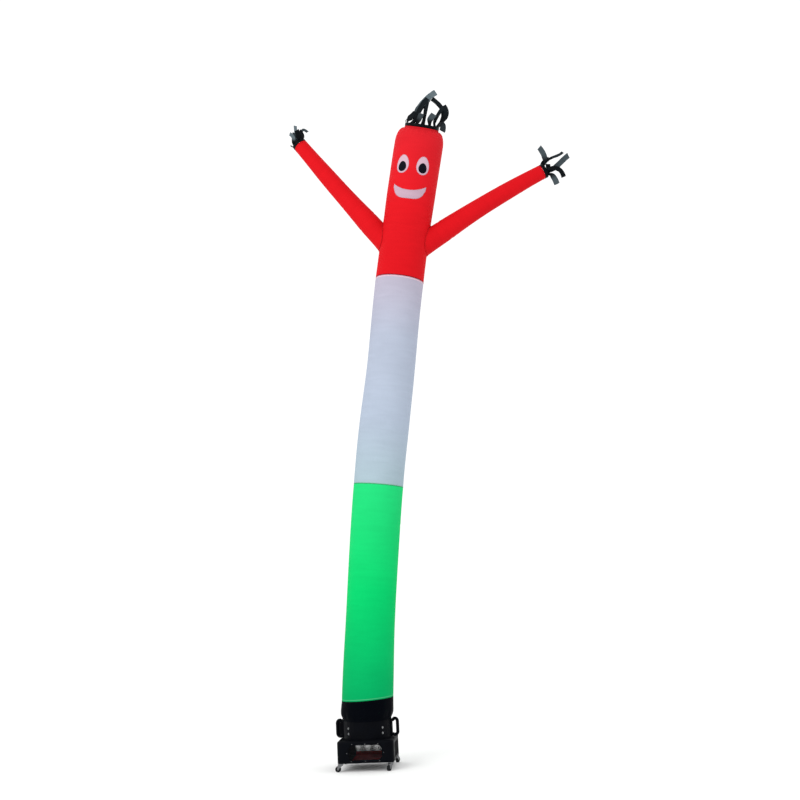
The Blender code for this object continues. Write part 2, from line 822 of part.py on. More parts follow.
def hair():
    """Streamers round the vent on the head."""
    right, back, normal = tube_axes(VENT)
    centre = lean(VENT) * RIGHTWARD + VENT * UP

    def to_world(across, behind, out):
        return centre + across * right + behind * back + out * normal

    ribbons = {
        # slot: width, then points at thirds and the end as (across, behind, out)
        1: (0.060, (0.190, 0.030, 0.110), (0.204, 0.030, 0.177), (0.166, 0.030, 0.238)),
        3: (0.042, (0.159, 0.090, 0.141), (0.152, 0.080, 0.228), (0.050, 0.060, 0.297)),
        8: (0.030, (0.003, 0.120, 0.108), (0.002, 0.100, 0.175), (0.009, 0.090, 0.248)),
        11: (0.044, (-0.071, 0.100, 0.108), (-0.038, 0.080, 0.192), (0.027, 0.060, 0.283)),
        14: (0.058, (-0.084, 0.000, 0.129), (-0.014, 0.000, 0.247), (0.080, -0.010, 0.346)),
        16: (0.034, (-0.158, -0.020, 0.046), (-0.152, -0.026, 0.062), (-0.138, -0.034, 0.080)),
        18: (0.056, (-0.130, -0.080, 0.060), (-0.104, -0.082, 0.092), (-0.072, -0.075, 0.135)),
        20: (0.046, (-0.062, -0.100, 0.090), (-0.036, -0.080, 0.181), (0.017, -0.060, 0.275)),
        22: (0.050, (-0.034, -0.155, 0.059), (-0.024, -0.162, 0.090), (-0.013, -0.166, 0.123)),
        24: (0.030, (0.017, -0.140, 0.113), (0.020, -0.120, 0.177), (0.022, -0.100, 0.241)),
        26: (0.056, (0.071, -0.160, 0.068), (0.078, -0.170, 0.096), (0.102, -0.170, 0.134)),
        28: (0.046, (0.118, -0.130, 0.083), (0.143, -0.115, 0.155), (0.172, -0.100, 0.222)),
        30: (0.056, (0.172, -0.075, 0.060), (0.194, -0.085, 0.050), (0.198, -0.092, -0.004)),
    }
    streamers("hair", centre, (right, back, normal), VENT_R, 0.030, 32, ribbons, to_world)


def hand_streamers():
    """Streamers round the open end of each sleeve."""
    tables = {
        "right": {
            # slot: width, then points at thirds and the end as (right, back, up)
            2: (0.044, (1.913, 0.120, 5.266), (1.923, 0.130, 5.306), (1.922, 0.130, 5.355)),
            4: (0.052, (1.961, 0.090, 5.290), (2.036, 0.070, 5.345), (2.112, 0.060, 5.406)),
            6: (0.040, (1.862, 0.065, 5.338), (1.890, 0.050, 5.360), (1.922, 0.045, 5.374)),
            8: (0.052, (1.882, 0.030, 5.363), (1.870, 0.020, 5.420), (1.834, 0.010, 5.480)),
            10: (0.026, (1.929, 0.000, 5.362), (1.989, 0.000, 5.384), (2.049, -0.010, 5.415)),
            12: (0.044, (1.940, -0.030, 5.258), (2.000, -0.035, 5.240), (2.038, -0.040, 5.163)),
            14: (0.054, (1.938, 0.010, 5.200), (1.960, 0.000, 5.160), (1.975, -0.010, 5.108)),
        },
        "left": {
            0: (0.026, (-0.403, 0.250, 5.805), (-0.395, 0.240, 5.846), (-0.347, 0.230, 5.818)),
            2: (0.042, (-0.414, 0.310, 5.760), (-0.432, 0.315, 5.806), (-0.447, 0.315, 5.851)),
            4: (0.030, (-0.455, 0.285, 5.751), (-0.464, 0.280, 5.836), (-0.467, 0.280, 5.909)),
            6: (0.040, (-0.482, 0.255, 5.716), (-0.483, 0.245, 5.765), (-0.472, 0.240, 5.821)),
            8: (0.024, (-0.500, 0.242, 5.686), (-0.508, 0.240, 5.690), (-0.516, 0.238, 5.692)),
            10: (0.034, (-0.479, 0.190, 5.726), (-0.483, 0.185, 5.757), (-0.515, 0.180, 5.792)),
            12: (0.046, (-0.434, 0.182, 5.756), (-0.439, 0.172, 5.788), (-0.447, 0.165, 5.820)),
            14: (0.042, (-0.389, 0.210, 5.769), (-0.403, 0.210, 5.804), (-0.422, 0.210, 5.833)),
        },
    }
    for side, line in ARM_LINES.items():
        axes = arm_axes(line, 1)
        centre = bezier(line, 1) + GAP / 2 * axes[2]
        streamers(f"fringe_{side}", centre, axes, ARM_TIP_R, 0.034, 16, tables[side], at)


def build():
    clear_scene()
    base()
    collar()
    guards()
    handles()
    switch_box()
    bolts()
    floor_panel()
    motor()
    motor_mount()
    fan()
    castors()
    cuff()
    green = finish("green_cloth", (0.02, 0.42, 0.06), 0.65)
    panel("panel_green", heights(CUFF_HIGH, GREEN_HIGH, 8), green)
    panel("panel_white", heights(GREEN_HIGH, WHITE_HIGH, 8), white_cloth())
    red_panel()
    arms()
    eyes()
    mouth()
    hair()
    hand_streamers()


build()
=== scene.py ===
from math import cos, pi, radians, sin

import bmesh
import bpy
import numpy as np
from mathutils import Matrix, Vector

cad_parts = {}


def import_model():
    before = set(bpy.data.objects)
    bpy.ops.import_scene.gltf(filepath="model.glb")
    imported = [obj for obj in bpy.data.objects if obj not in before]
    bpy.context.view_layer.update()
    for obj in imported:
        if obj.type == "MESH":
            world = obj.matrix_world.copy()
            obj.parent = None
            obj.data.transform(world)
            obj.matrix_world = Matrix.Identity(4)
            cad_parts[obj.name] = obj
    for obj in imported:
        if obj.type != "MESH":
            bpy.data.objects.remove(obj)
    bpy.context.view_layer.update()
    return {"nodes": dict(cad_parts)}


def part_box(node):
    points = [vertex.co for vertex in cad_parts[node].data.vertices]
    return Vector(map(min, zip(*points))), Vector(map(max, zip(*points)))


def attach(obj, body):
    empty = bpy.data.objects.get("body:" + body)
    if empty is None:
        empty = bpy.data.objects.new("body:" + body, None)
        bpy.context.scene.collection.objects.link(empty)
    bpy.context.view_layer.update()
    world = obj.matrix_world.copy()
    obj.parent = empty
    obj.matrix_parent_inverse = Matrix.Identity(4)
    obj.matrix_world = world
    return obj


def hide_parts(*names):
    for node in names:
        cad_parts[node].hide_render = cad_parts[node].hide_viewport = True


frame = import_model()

cad = frame["nodes"]
ROOT = "blower_and_tube"

# Studio --------------------------------------------
# A pale floor that runs off into white air. One broad soft light stands at the
# front left, a weaker one at the right, and the air itself lights the rest.
FLOOR_Z = -0.07
CAMERA_OFF, CAMERA_HIGH = 10.88, 1.559
CAMERA_ASIDE = radians(7)
CAMERA_TURNS = radians(4.795), radians(8.31), radians(2.7)
SENSOR_MM, FOCAL_MM = 36, 54.36
LIGHT_AIM = 0.4, 0.0, 3.0


def supply(tree, node, inputs):
    """Links or sets a node's inputs."""
    for key, value in inputs.items():
        if isinstance(value, bpy.types.NodeSocket):
            tree.links.new(value, node.inputs[key])
        else:
            node.inputs[key].default_value = value


def feed(tree, kind, inputs=None, output=0, **settings):
    """One output of a new node, its settings made and its inputs supplied."""
    made = tree.nodes.new(kind)
    for key, value in settings.items():
        setattr(made, key, value)
    supply(tree, made, inputs or {})
    return made.outputs[output]


def sums(tree, operation, *terms):
    """A Math node's value."""
    return feed(tree, "ShaderNodeMath", dict(enumerate(terms)), operation=operation)


def times(tree, *terms):
    """A product."""
    return sums(tree, "MULTIPLY", *terms)


def noise(tree, where, scale, detail, distortion=0.0):
    """A noise texture's value."""
    inputs = {"Vector": where, "Scale": scale, "Detail": detail, "Distortion": distortion}
    return feed(tree, "ShaderNodeTexNoise", inputs)


def ranged(tree, value, low=0.0, high=1.0, to_low=0.0, to_high=1.0):
    """A value moved from one range to another."""
    inputs = {"Value": value, 1: low, 2: high, 3: to_low, 4: to_high}
    return feed(tree, "ShaderNodeMapRange", inputs)


def put(name, data):
    """A new object in the scene."""
    obj = bpy.data.objects.new(name, data)
    bpy.context.scene.collection.objects.link(obj)
    return obj


def fresh_material(name):
    """A new material, its tree and its Principled shader."""
    made = bpy.data.materials.new(name)
    made.use_nodes = True
    return made, made.node_tree, made.node_tree.nodes["Principled BSDF"]


def blend_colors(tree, factor, low, high):
    """A colour between two, by a mask."""
    low, high = (c if isinstance(c, bpy.types.NodeSocket) else (*c, 1) for c in (low, high))
    return feed(tree, "ShaderNodeMix", {0: factor, 6: low, 7: high}, data_type="RGBA", output=2)


def lay_floor():
    mesh = bpy.data.meshes.new("studio_floor")
    far = 60.0
    corners = [(-far, -far, FLOOR_Z), (far, -far, FLOOR_Z), (far, far, FLOOR_Z), (-far, far, FLOOR_Z)]
    mesh.from_pydata(corners, [], [(0, 1, 2, 3)])
    floor = put("studio_floor", mesh)
    made, tree, shader = fresh_material("studio_floor")
    where = feed(tree, "ShaderNodeTexCoord", output="Object")
    shade = blend_colors(tree, noise(tree, where, 0.7, 3.0), (0.935, 0.935, 0.937), (0.95, 0.95, 0.95))
    supply(tree, shader, {"Base Color": shade, "Roughness": 0.9, "Specular IOR Level": 0.0})
    mesh.materials.append(made)


def hang_light(name, at, side, power, color):
    """A square soft light that faces the tube's middle."""
    lamp = bpy.data.lights.new(name, "AREA")
    lamp.size, lamp.energy, lamp.color = side, power, color
    obj = put(name, lamp)
    obj.location = at
    obj.rotation_euler = (Vector(LIGHT_AIM) - Vector(at)).to_track_quat("-Z", "Y").to_euler()


def set_camera():
    """About eleven metres off at chest height, looking up a little, tipped."""
    at = Vector((CAMERA_OFF * sin(CAMERA_ASIDE), -CAMERA_OFF * cos(CAMERA_ASIDE), CAMERA_HIGH))
    head, pitch, roll = CAMERA_TURNS
    forward = Vector((-sin(head) * cos(pitch), cos(head) * cos(pitch), sin(pitch)))
    right = Vector((cos(head), sin(head), 0))
    up = right.cross(forward)
    across = right * cos(roll) - up * sin(roll)
    above = right * sin(roll) + up * cos(roll)
    lens = bpy.data.cameras.new("camera")
    lens.sensor_width, lens.lens, lens.clip_end = SENSOR_MM, FOCAL_MM, 500
    camera = put("camera", lens)
    camera.matrix_world = Matrix.Translation(at) @ Matrix((across, above, -forward)).transposed().to_4x4()
    bpy.context.scene.camera = camera


lay_floor()
hang_light("key", (-5.5, -8.5, 6.5), 7.0, 420, (1.0, 0.99, 0.97))
hang_light("fill", (8.0, -5.0, 4.0), 5.0, 30, (0.95, 0.98, 1.0))
air = bpy.data.worlds.new("white_air")
air.use_nodes = True
supply(air.node_tree, air.node_tree.nodes["Background"], {"Color": (1, 1, 1, 1), "Strength": 1.09})
bpy.context.scene.world = air
bpy.context.scene.view_settings.view_transform = "Standard"
set_camera()

# Blower housing ------------------------------------
# The base, the collar, both handles, the switch box and its gland are moulded
# in black polypropylene: a fine spark-eroded grain, dulled tops where dust
# settles, and corners polished a little lighter by hands and vans.
BLACK_PLASTIC = (0.0012, 0.0016, 0.003)
DUST = (0.04, 0.04, 0.042)
WEAR_REACH = 0.002


def group_tree(kind, name, inputs, outputs):
    """A group's tree, its inputs and the node that takes its outputs."""
    tree = bpy.data.node_groups.new(name, kind + "NodeTree")
    for way, sockets in (("INPUT", inputs), ("OUTPUT", outputs)):
        for label, holds in sockets.items():
            tree.interface.new_socket(label, in_out=way, socket_type="NodeSocket" + holds)
    return tree, tree.nodes.new("NodeGroupInput").outputs, tree.nodes.new("NodeGroupOutput")


def make_grain():
    """Moulded or painted grain, a mottled tone, and dust on what faces up."""
    inputs = {"Where": "Vector", "Grain size": "Float", "Dust": "Float"}
    outputs = {"Height": "Float", "Tone": "Float", "Dusty": "Float"}
    tree, given, gives = group_tree("Shader", "moulded_grain", inputs, outputs)
    fine = noise(tree, given["Where"], sums(tree, "DIVIDE", 1.0, given["Grain size"]), 2.0)
    tone = ranged(tree, noise(tree, given["Where"], 14.0, 5.0), 0.3, 0.7)
    normal = feed(tree, "ShaderNodeNewGeometry", output="Normal")
    facing = feed(tree, "ShaderNodeSeparateXYZ", {0: normal}, output="Z")
    up = sums(tree, "POWER", sums(tree, "MAXIMUM", facing, 0.0), 3.0)
    dusty = times(tree, times(tree, up, tone), given["Dust"])
    supply(tree, gives, {"Height": fine, "Tone": tone, "Dusty": dusty})
    return tree


def make_edge_wear():
    """A broken line of wear along the edges."""
    inputs = {"Where": "Vector", "Amount": "Float"}
    tree, given, gives = group_tree("Shader", "worn_edges", inputs, {"Worn": "Float"})
    rounded = feed(tree, "ShaderNodeBevel", {"Radius": WEAR_REACH}, samples=4)
    flat = feed(tree, "ShaderNodeNewGeometry", output="Normal")
    dot = feed(tree, "ShaderNodeVectorMath", {0: rounded, 1: flat}, operation="DOT_PRODUCT", output="Value")
    turned = ranged(tree, sums(tree, "SUBTRACT", 1.0, dot), 0.01, 0.18)
    broken = ranged(tree, noise(tree, given["Where"], 60.0, 4.0), 0.42, 0.62)
    worn = times(tree, turned, broken)
    supply(tree, gives, {"Worn": times(tree, worn, given["Amount"])})
    return tree


GRAIN, EDGE_WEAR = make_grain(), make_edge_wear()


def use_effect(tree, group, inputs):
    """A node group's outputs."""
    made = tree.nodes.new("ShaderNodeGroup")
    made.node_tree = group
    supply(tree, made, inputs)
    return made.outputs


def hard_finish(
    name, color, worn_color, roughness,
    metallic=0.0, grain=0.0012, relief=0.00006, dust=0.3, wear=0.5, gloss=0.3,
):
    """A hard surface: grain, patchy tone, dust on top and worn edges."""
    made, tree, shader = fresh_material(name)
    where = feed(tree, "ShaderNodeTexCoord", output="Object")
    moulded = use_effect(tree, GRAIN, {"Where": where, "Grain size": grain, "Dust": dust})
    worn = use_effect(tree, EDGE_WEAR, {"Where": where, "Amount": wear})
    dark, light = (tuple(c * share for c in color) for share in (0.75, 1.2))
    body = blend_colors(tree, moulded["Tone"], dark, light)
    body = blend_colors(tree, moulded["Dusty"], body, DUST)
    bump = {"Height": moulded["Height"], "Distance": relief, "Strength": 0.8}
    supply(tree, shader, {
        "Base Color": blend_colors(tree, worn["Worn"], body, worn_color),
        "Roughness": ranged(tree, moulded["Tone"], to_low=roughness - 0.08, to_high=roughness + 0.08),
        "Metallic": metallic,
        "Specular IOR Level": gloss,
        "Normal": feed(tree, "ShaderNodeBump", bump),
    })
    return made


def dress(material, *names):
    """Gives CAD nodes their finish."""
    for name in names:
        obj = cad[name]
        obj.data.materials.clear()
        obj.data.materials.append(material)


black_plastic = hard_finish(
    "moulded_black_plastic", BLACK_PLASTIC, (0.01, 0.01, 0.013), roughness=0.5, dust=0.06, gloss=0.035
)
dress(black_plastic, "blower_base", "blower_collar", "handle_right", "handle_left", "switch_box", "gland")

# Window guards and their screws --------------------
# Each window of the base has a welded lattice of thin powder-coated wires
# behind it. Eight pan-head screws are driven through the wall around it.
WIRE_R, WIRE_PITCH = 0.0008, 0.0037
SCREW_HEAD_R, SCREW_HEAD_HIGH = 0.0042, 0.0022
WINDOW_SCREWS = (
    # along the wall, height
    (-0.112, 0.16), (0.0, 0.16), (0.112, 0.16), (-0.158, 0.087),
    (0.158, 0.087), (-0.122, 0.0185), (0.0, 0.0185), (0.122, 0.0185),
)


def painted(tree, shape, material):
    """A shape in one material."""
    return feed(tree, "GeometryNodeSetMaterial", {"Geometry": shape, "Material": material})


def joined(tree, shapes):
    """Several shapes as one."""
    join = tree.nodes.new("GeometryNodeJoinGeometry")
    for shape in shapes:
        tree.links.new(shape, join.inputs[0])
    return join.outputs[0]


def make_screw_tree():
    """Pan heads with a cross recess drawn as a near-black cross, painted shade, stood on points along their
    "outward".
    """
    inputs = {"Points": "Geometry", "Head radius": "Float", "Head height": "Float"}
    inputs |= {"Steel": "Material", "Recess": "Material"}
    tree, given, gives = group_tree("Geometry", "screw_heads", inputs, {"Screws": "Geometry"})
    radius, high = given["Head radius"], given["Head height"]
    crown = times(tree, radius, 0.62)
    sizes = {"Vertices": 12, "Radius Top": crown, "Radius Bottom": radius, "Depth": high}
    head = painted(tree, feed(tree, "GeometryNodeMeshCone", sizes), given["Steel"])
    long, thin = times(tree, radius, 0.95), times(tree, radius, 0.2)
    lid, half = times(tree, high, 1.02), times(tree, high, 0.5)
    middle = feed(tree, "ShaderNodeCombineXYZ", {2: half})
    bars = []
    for sides in ((long, thin, lid), (thin, long, lid)):
        size = feed(tree, "ShaderNodeCombineXYZ", dict(enumerate(sides)))
        bar = feed(tree, "GeometryNodeMeshCube", {"Size": size})
        bars.append(feed(tree, "GeometryNodeTransform", {"Geometry": bar, "Translation": middle}))
    screw = joined(tree, (head, painted(tree, joined(tree, bars), given["Recess"])))
    outward = feed(tree, "GeometryNodeInputNamedAttribute", {"Name": "outward"}, data_type="FLOAT_VECTOR")
    turn = feed(tree, "FunctionNodeAlignRotationToVector", {"Vector": outward}, axis="Z")
    spin = feed(tree, "FunctionNodeRandomValue", {2: 0.0, 3: 3.14, "Seed": 7}, data_type="FLOAT", output=1)
    about = feed(tree, "FunctionNodeAxisAngleToRotation", {"Axis": (0, 0, 1), "Angle": spin})
    turn = feed(tree, "FunctionNodeRotateRotation", {0: turn, 1: about}, rotation_space="LOCAL")
    spots = {"Points": given["Points"], "Instance": screw, "Rotation": turn}
    stood = feed(tree, "GeometryNodeInstanceOnPoints", spots)
    supply(tree, gives, {"Screws": feed(tree, "GeometryNodeRealizeInstances", {0: stood})})
    return tree


def grow(name, points, edges, tree, values, outward=None):
    """A plain mesh grown by a tree from points or lines."""
    seed = bpy.data.meshes.new(name + "_seed")
    seed.from_pydata([tuple(p) for p in points], edges, [])
    if outward is not None:
        field = seed.attributes.new("outward", "FLOAT_VECTOR", "POINT")
        field.data.foreach_set("vector", np.asarray(outward, np.float32).ravel())
    obj = put(name, seed)
    modifier = obj.modifiers.new("grow", "NODES")
    modifier.node_group = tree
    for item in tree.interface.items_tree:
        if item.in_out == "INPUT" and item.name in values:
            modifier[item.identifier] = values[item.name]
    bpy.context.view_layer.update()
    graph = bpy.context.evaluated_depsgraph_get()
    grown = bpy.data.meshes.new_from_object(obj.evaluated_get(graph))
    obj.modifiers.remove(modifier)
    obj.data = grown
    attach(obj, ROOT)
    return obj


def window_points():
    """Screw places and directions, for the four walls."""
    points, outward = [], []
    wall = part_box("blower_base")[1].x
    for k in range(4):
        c, s = cos(k * pi / 2), sin(k * pi / 2)
        for along, high in WINDOW_SCREWS:
            points.append((along * c + wall * s, along * s - wall * c, high))
            outward.append((s, -c, 0))
    return points, outward


def make_wire_tree():
    """Round wires along lines."""
    inputs = {"Lines": "Geometry", "Wire radius": "Float", "Wire": "Material"}
    tree, given, gives = group_tree("Geometry", "wires", inputs, {"Wires": "Geometry"})
    curve = feed(tree, "GeometryNodeMeshToCurve", {"Mesh": given["Lines"]})
    section = {"Resolution": 6, "Radius": given["Wire radius"]}
    ring = feed(tree, "GeometryNodeCurvePrimitiveCircle", section)
    capped = {"Curve": curve, "Profile Curve": ring, "Fill Caps": True}
    real = feed(tree, "GeometryNodeRealizeInstances", {0: feed(tree, "GeometryNodeCurveToMesh", capped)})
    supply(tree, gives, {"Wires": painted(tree, real, given["Wire"])})
    return tree


def weld_guard(k, name):
    """Wires each way behind one wall's window, three side by side at its edge."""
    (low_x, low_y, low_z), (high_x, _, high_z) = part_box("guard_front")
    edge = (0.0, 2 * WIRE_R, 4 * WIRE_R)

    def places(low, high):
        low, high = low + WIRE_R, high - WIRE_R
        count = round((high - low) / WIRE_PITCH)
        even = [low + (high - low) * j / count for j in range(1, count)]
        between = [p for p in even if low + edge[-1] < p < high - edge[-1]]
        return [low + d for d in edge] + between + [high - d for d in edge]

    front, rear = low_y + WIRE_R, low_y + 2.7 * WIRE_R
    lines = [((x, front, low_z), (x, front, high_z)) for x in places(low_x, high_x)]
    lines += [((low_x, rear, z), (high_x, rear, z)) for z in places(low_z, high_z)]
    c, s = cos(k * pi / 2), sin(k * pi / 2)
    points = [(x * c - y * s, x * s + y * c, z) for line in lines for x, y, z in line]
    edges = [(2 * j, 2 * j + 1) for j in range(len(lines))]
    guard = grow(f"wires_{name}", points, edges, WIRE_TREE, {"Wire radius": WIRE_R, "Wire": guard_steel})
    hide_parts(f"guard_{name}")


WIRE_TREE = make_wire_tree()
guard_steel = hard_finish(
    "powder_coated_guard", (0.003, 0.003, 0.004), (0.03, 0.03, 0.03), 0.5,
    grain=0.0006, relief=0.00003, dust=0.1, wear=0.3, gloss=0.06,
)
for k, name in enumerate(("front", "right", "back", "left")):
    weld_guard(k, name)
zinc = hard_finish(
    "zinc_plate", (0.24, 0.245, 0.25), (0.42, 0.42, 0.42), 0.36,
    metallic=1.0, grain=0.002, relief=0.00002, dust=0.25, wear=0.7, gloss=0.5,
)
# The screws' cross recess is a near-black cross: painted shade in the hollow.
recess_painted_shade = hard_finish("screw_recess_painted_shade", (0.008, 0.008, 0.009), (0.03, 0.03, 0.03), 0.7, grain=0.001)
SCREW_TREE = make_screw_tree()
spots, facing = window_points()
head = {"Head radius": SCREW_HEAD_R, "Head height": SCREW_HEAD_HIGH, "Steel": zinc, "Recess": recess_painted_shade}
screws = grow("window_screws", spots, [], SCREW_TREE, head, facing)

# Red board in the pan ------------------------------
# A sheet painted red lies on the floor of the base, its back edge turned up.
red_board = hard_finish(
    "painted_red_board", (0.72, 0.008, 0.006), (0.1, 0.02, 0.015), 0.5,
    grain=0.004, relief=0.0001, dust=0.06, wear=0.8, gloss=0.04,
)
dress(red_board, "floor_panel")

# Fan and motor -------------------------------------
# A five-bladed moulded fan turns on the shaft of an upright motor, which hangs
# under a zinc-plated cross bolted through the collar with pairs of bolts.
motor_paint = hard_finish(
    "motor_enamel", (0.055, 0.057, 0.06), (0.25, 0.25, 0.25), 0.38,
    metallic=0.4, grain=0.0015, relief=0.00005, dust=0.5, wear=0.6,
)
CORNERS = ("front_left", "front_right", "back_right", "back_left")
dress(motor_paint, "motor")
dress(zinc, "motor_mount", *(f"bolt_{corner}_{level}" for corner in CORNERS for level in ("low", "high")))
dress(black_plastic, "fan")

# Castors -------------------------------------------
# Four swivel castors: pressed zinc-plated fork and plate, and a wheel whose
# tyre and hub both get the grey rubber finish.
tyre_grey = hard_finish(
    "grey_rubber_tyre", (0.012, 0.013, 0.014), (0.03, 0.03, 0.03), 0.75,
    grain=0.0008, relief=0.00008, wear=0.3, gloss=0.1,
)
# The castors' zinc is darker than the bolts': painted shade, for the dark base that it reflects.
castor_zinc_with_painted_shade = hard_finish(
    "castor_zinc_painted_shade", (0.17, 0.173, 0.18), (0.42, 0.42, 0.42), 0.42,
    metallic=1.0, grain=0.0016, relief=0.00004, dust=0.2, wear=0.7, gloss=0.4,
)
for corner in CORNERS:
    dress(castor_zinc_with_painted_shade, f"castor_plate_{corner}", f"castor_fork_{corner}")
    dress(tyre_grey, f"castor_wheel_{corner}")

# Cuff ----------------------------------------------
# The tube is held to the collar by a black nylon cuff. Its hem is folded over
# a strap drawn tight, so the cloth above it bulges in soft uneven gathers.
CUFF_LOW, CUFF_HIGH, GREEN_HIGH, WHITE_HIGH = 0.338, 0.516, 2.38, 4.256
SHOULDER, VENT = 5.555, 5.714
TUBE_RADII = np.array((
    # height, radius
    (0.516, 0.228), (1.25, 0.2175), (2.38, 0.2235), (2.8, 0.226), (3.55, 0.2185), (4.256, 0.222),
    (4.78, 0.2205), (5.1, 0.225), (5.5, 0.2285),
))
LEAN_HEADING = radians(4.8)
RIGHTWARD = np.array((cos(LEAN_HEADING), sin(LEAN_HEADING), 0.0))
BACKWARD = np.array((-sin(LEAN_HEADING), cos(LEAN_HEADING), 0.0))
UP = np.array((0.0, 0.0, 1.0))
FACE_ANGLE = -pi / 2 - LEAN_HEADING
SEAMS = (CUFF_HIGH, GREEN_HIGH, WHITE_HIGH)
CREASE_Z = 4.735
# Radii that turn an angle round the tube into a length: of a fold, of the cloth's lay, and of the head.
FOLD_R, LAY_R, HEAD_R = 0.222, 0.2225, 0.2262
THREAD_PITCH = 0.0009
CLOTH_THICK, CUFF_THICK, SEAM_GAP = 0.001, 0.0012, 0.0001
CUFF_ANGLES, TUBE_ANGLES, STITCHED_ANGLES = 224, 144, 240
FOLDS = (
    # degrees from the face, height, half length, width, depth, tilt in degrees
    (-20, 0.86, 0.16, 0.01, 0.0022, 4), (25, 1.02, 0.12, 0.009, 0.0018, -6),
    (-40, 1.3, 0.14, 0.012, 0.002, 8), (10, 1.62, 0.18, 0.01, 0.0018, -3),
    (50, 1.86, 0.12, 0.012, 0.002, 10), (-15, 2.12, 0.15, 0.01, 0.002, 5),
    (160, 1.1, 0.2, 0.012, 0.0024, 6), (-130, 1.7, 0.18, 0.012, 0.0022, -8),
    (120, 2.05, 0.15, 0.01, 0.002, 4), (15, 2.62, 0.14, 0.01, 0.0018, -5),
    (-35, 2.95, 0.12, 0.011, 0.002, 7), (40, 3.22, 0.15, 0.01, 0.002, -8),
    (-10, 3.52, 0.18, 0.012, 0.0022, 3), (70, 3.6, 0.12, 0.012, 0.0024, -12),
    (20, 3.84, 0.12, 0.01, 0.0018, 6), (-140, 2.9, 0.18, 0.012, 0.0024, 8),
    (150, 3.45, 0.2, 0.012, 0.0024, -5), (-25, 4.05, 0.12, 0.01, 0.0018, -6),
    (0, 4.735, 0.2, 0.014, 0.004, 2), (-30, 4.675, 0.11, 0.01, 0.003, 10),
    (32, 4.69, 0.12, 0.01, 0.003, -9), (-52, 4.8, 0.08, 0.011, 0.0034, -28),
    (52, 4.82, 0.09, 0.011, 0.0034, 24), (8, 4.56, 0.15, 0.011, 0.0024, -4),
    (-18, 4.44, 0.12, 0.01, 0.002, 5), (28, 4.38, 0.1, 0.01, 0.002, -7),
    (170, 4.7, 0.22, 0.014, 0.0036, 3), (-150, 4.95, 0.15, 0.012, 0.0026, -10),
    (140, 5.2, 0.16, 0.012, 0.0026, 8), (10, 5.455, 0.1, 0.01, 0.0014, 5),
)


def smoothstep(low, high, x):
    t = np.clip((x - low) / (high - low), 0, 1)
    return t * t * (3 - 2 * t)


def swell(x, wide):
    """A rounded bump, one high at nought."""
    return np.exp(-((x / wide) ** 2))


def dent(x):
    """A fold's section: a hollow with a lower ridge beside it."""
    return swell(x, 1) - 0.45 * swell(x - 1.9, 1)


def wrapped(angle):
    """An angle between minus and plus half a turn."""
    return (angle + pi) % (2 * pi) - pi


def swung(angle, across, back):
    """The direction at an angle from across towards back."""
    return np.cos(angle)[..., None] * across + np.sin(angle)[..., None] * back


def lean(z):
    """How far the tube's middle stands to the right at a height."""
    s = np.maximum(z - 0.376, 0)
    return 0.0676 * s + 0.0134 * s * s + 0.015 * swell(z - 3.4, 0.55)


def tube_middle(z):
    """The middle of the tube at a height."""
    return lean(z)[..., None] * RIGHTWARD + z[..., None] * UP


def tube_axes(z):
    """Right, back and up of the tube's cross-section. The crown nods forward."""
    slope = (lean(z + 0.05) - lean(z - 0.05)) / 0.1
    askew = radians(2.5) * smoothstep(0.4, CUFF_HIGH, z) * (1 - smoothstep(CUFF_HIGH, 1.0, z))
    angle = np.arctan(slope) * smoothstep(0.52, 1.1, z) - askew
    nod = radians(17) * smoothstep(5.45, 5.7, z)
    normal = swung(angle, UP, RIGHTWARD)
    return swung(angle, RIGHTWARD, -UP), swung(nod, BACKWARD, normal), swung(nod, normal, -BACKWARD)


def tube_radius(z):
    radius = np.full(np.shape(z), TUBE_RADII[0, 1])
    for (z0, r0), (z1, r1) in zip(TUBE_RADII, TUBE_RADII[1:]):
        radius = np.where(z > z0, r0 + (r1 - r0) * smoothstep(z0, z1, z), radius)
    return radius


def relief(angle, z):
    """How far the blown-up cloth stands off its even shape."""
    crease = 0.005 * swell(z - CREASE_Z, 0.03)
    off = -crease * np.maximum(np.cos(angle - FACE_ANGLE), 0) ** 2
    off = off + 0.0011 * np.sin(3 * angle + 1.9 * z) + 0.0008 * np.sin(2 * angle - 3.7 * z + 1)
    off += 0.0006 * np.sin(5 * angle + 7.1 * z + 2 * np.sin(2.3 * z)) * np.sin(2 * angle - 1.3 * z)
    for degrees, high, half_long, wide, deep, tilt in FOLDS:
        along = wrapped(angle - FACE_ANGLE - radians(degrees)) * FOLD_R
        rise = z - high
        c, s = cos(radians(tilt)), sin(radians(tilt))
        length, across = along * c + rise * s, rise * c - along * s + 0.6 * along * along
        off -= deep * swell(length, half_long) * dent(across / wide)
    for k, seam in enumerate(SEAMS):
        near = np.exp(-np.abs(z - seam) / 0.045)
        uneven = 0.6 + 0.4 * np.sin(2 * angle + k)
        pucker = 0.0012 * np.sin(19 * angle + 2 * np.sin(3 * angle + k)) + 0.0006 * np.sin(31 * angle + k)
        off += near * uneven * pucker
        off -= 0.0016 * swell(z - seam, 0.012)
        off += 0.0009 * smoothstep(0.0075, 0.006, np.abs(z - seam))
    return off


def skin(angle, z, out=0.0, radius=None):
    """Points on the tube's cloth: angle from its right side, middle height."""
    angle, z = np.broadcast_arrays(np.asarray(angle, float), np.asarray(z, float))
    right, back, _ = tube_axes(z)
    r = (tube_radius(z) if radius is None else radius) + out
    return tube_middle(z) + np.asarray(r)[..., None] * swung(angle, right, back)


def walled(name, mesh, material, thick, outside):
    """A sheet's object, with its material and the wall that its thickness makes."""
    mesh.materials.append(material)
    obj = put(name, mesh)
    wall = obj.modifiers.new("thickness", "SOLIDIFY")
    wall.thickness, wall.offset = thick, outside
    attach(obj, ROOT)
    return obj


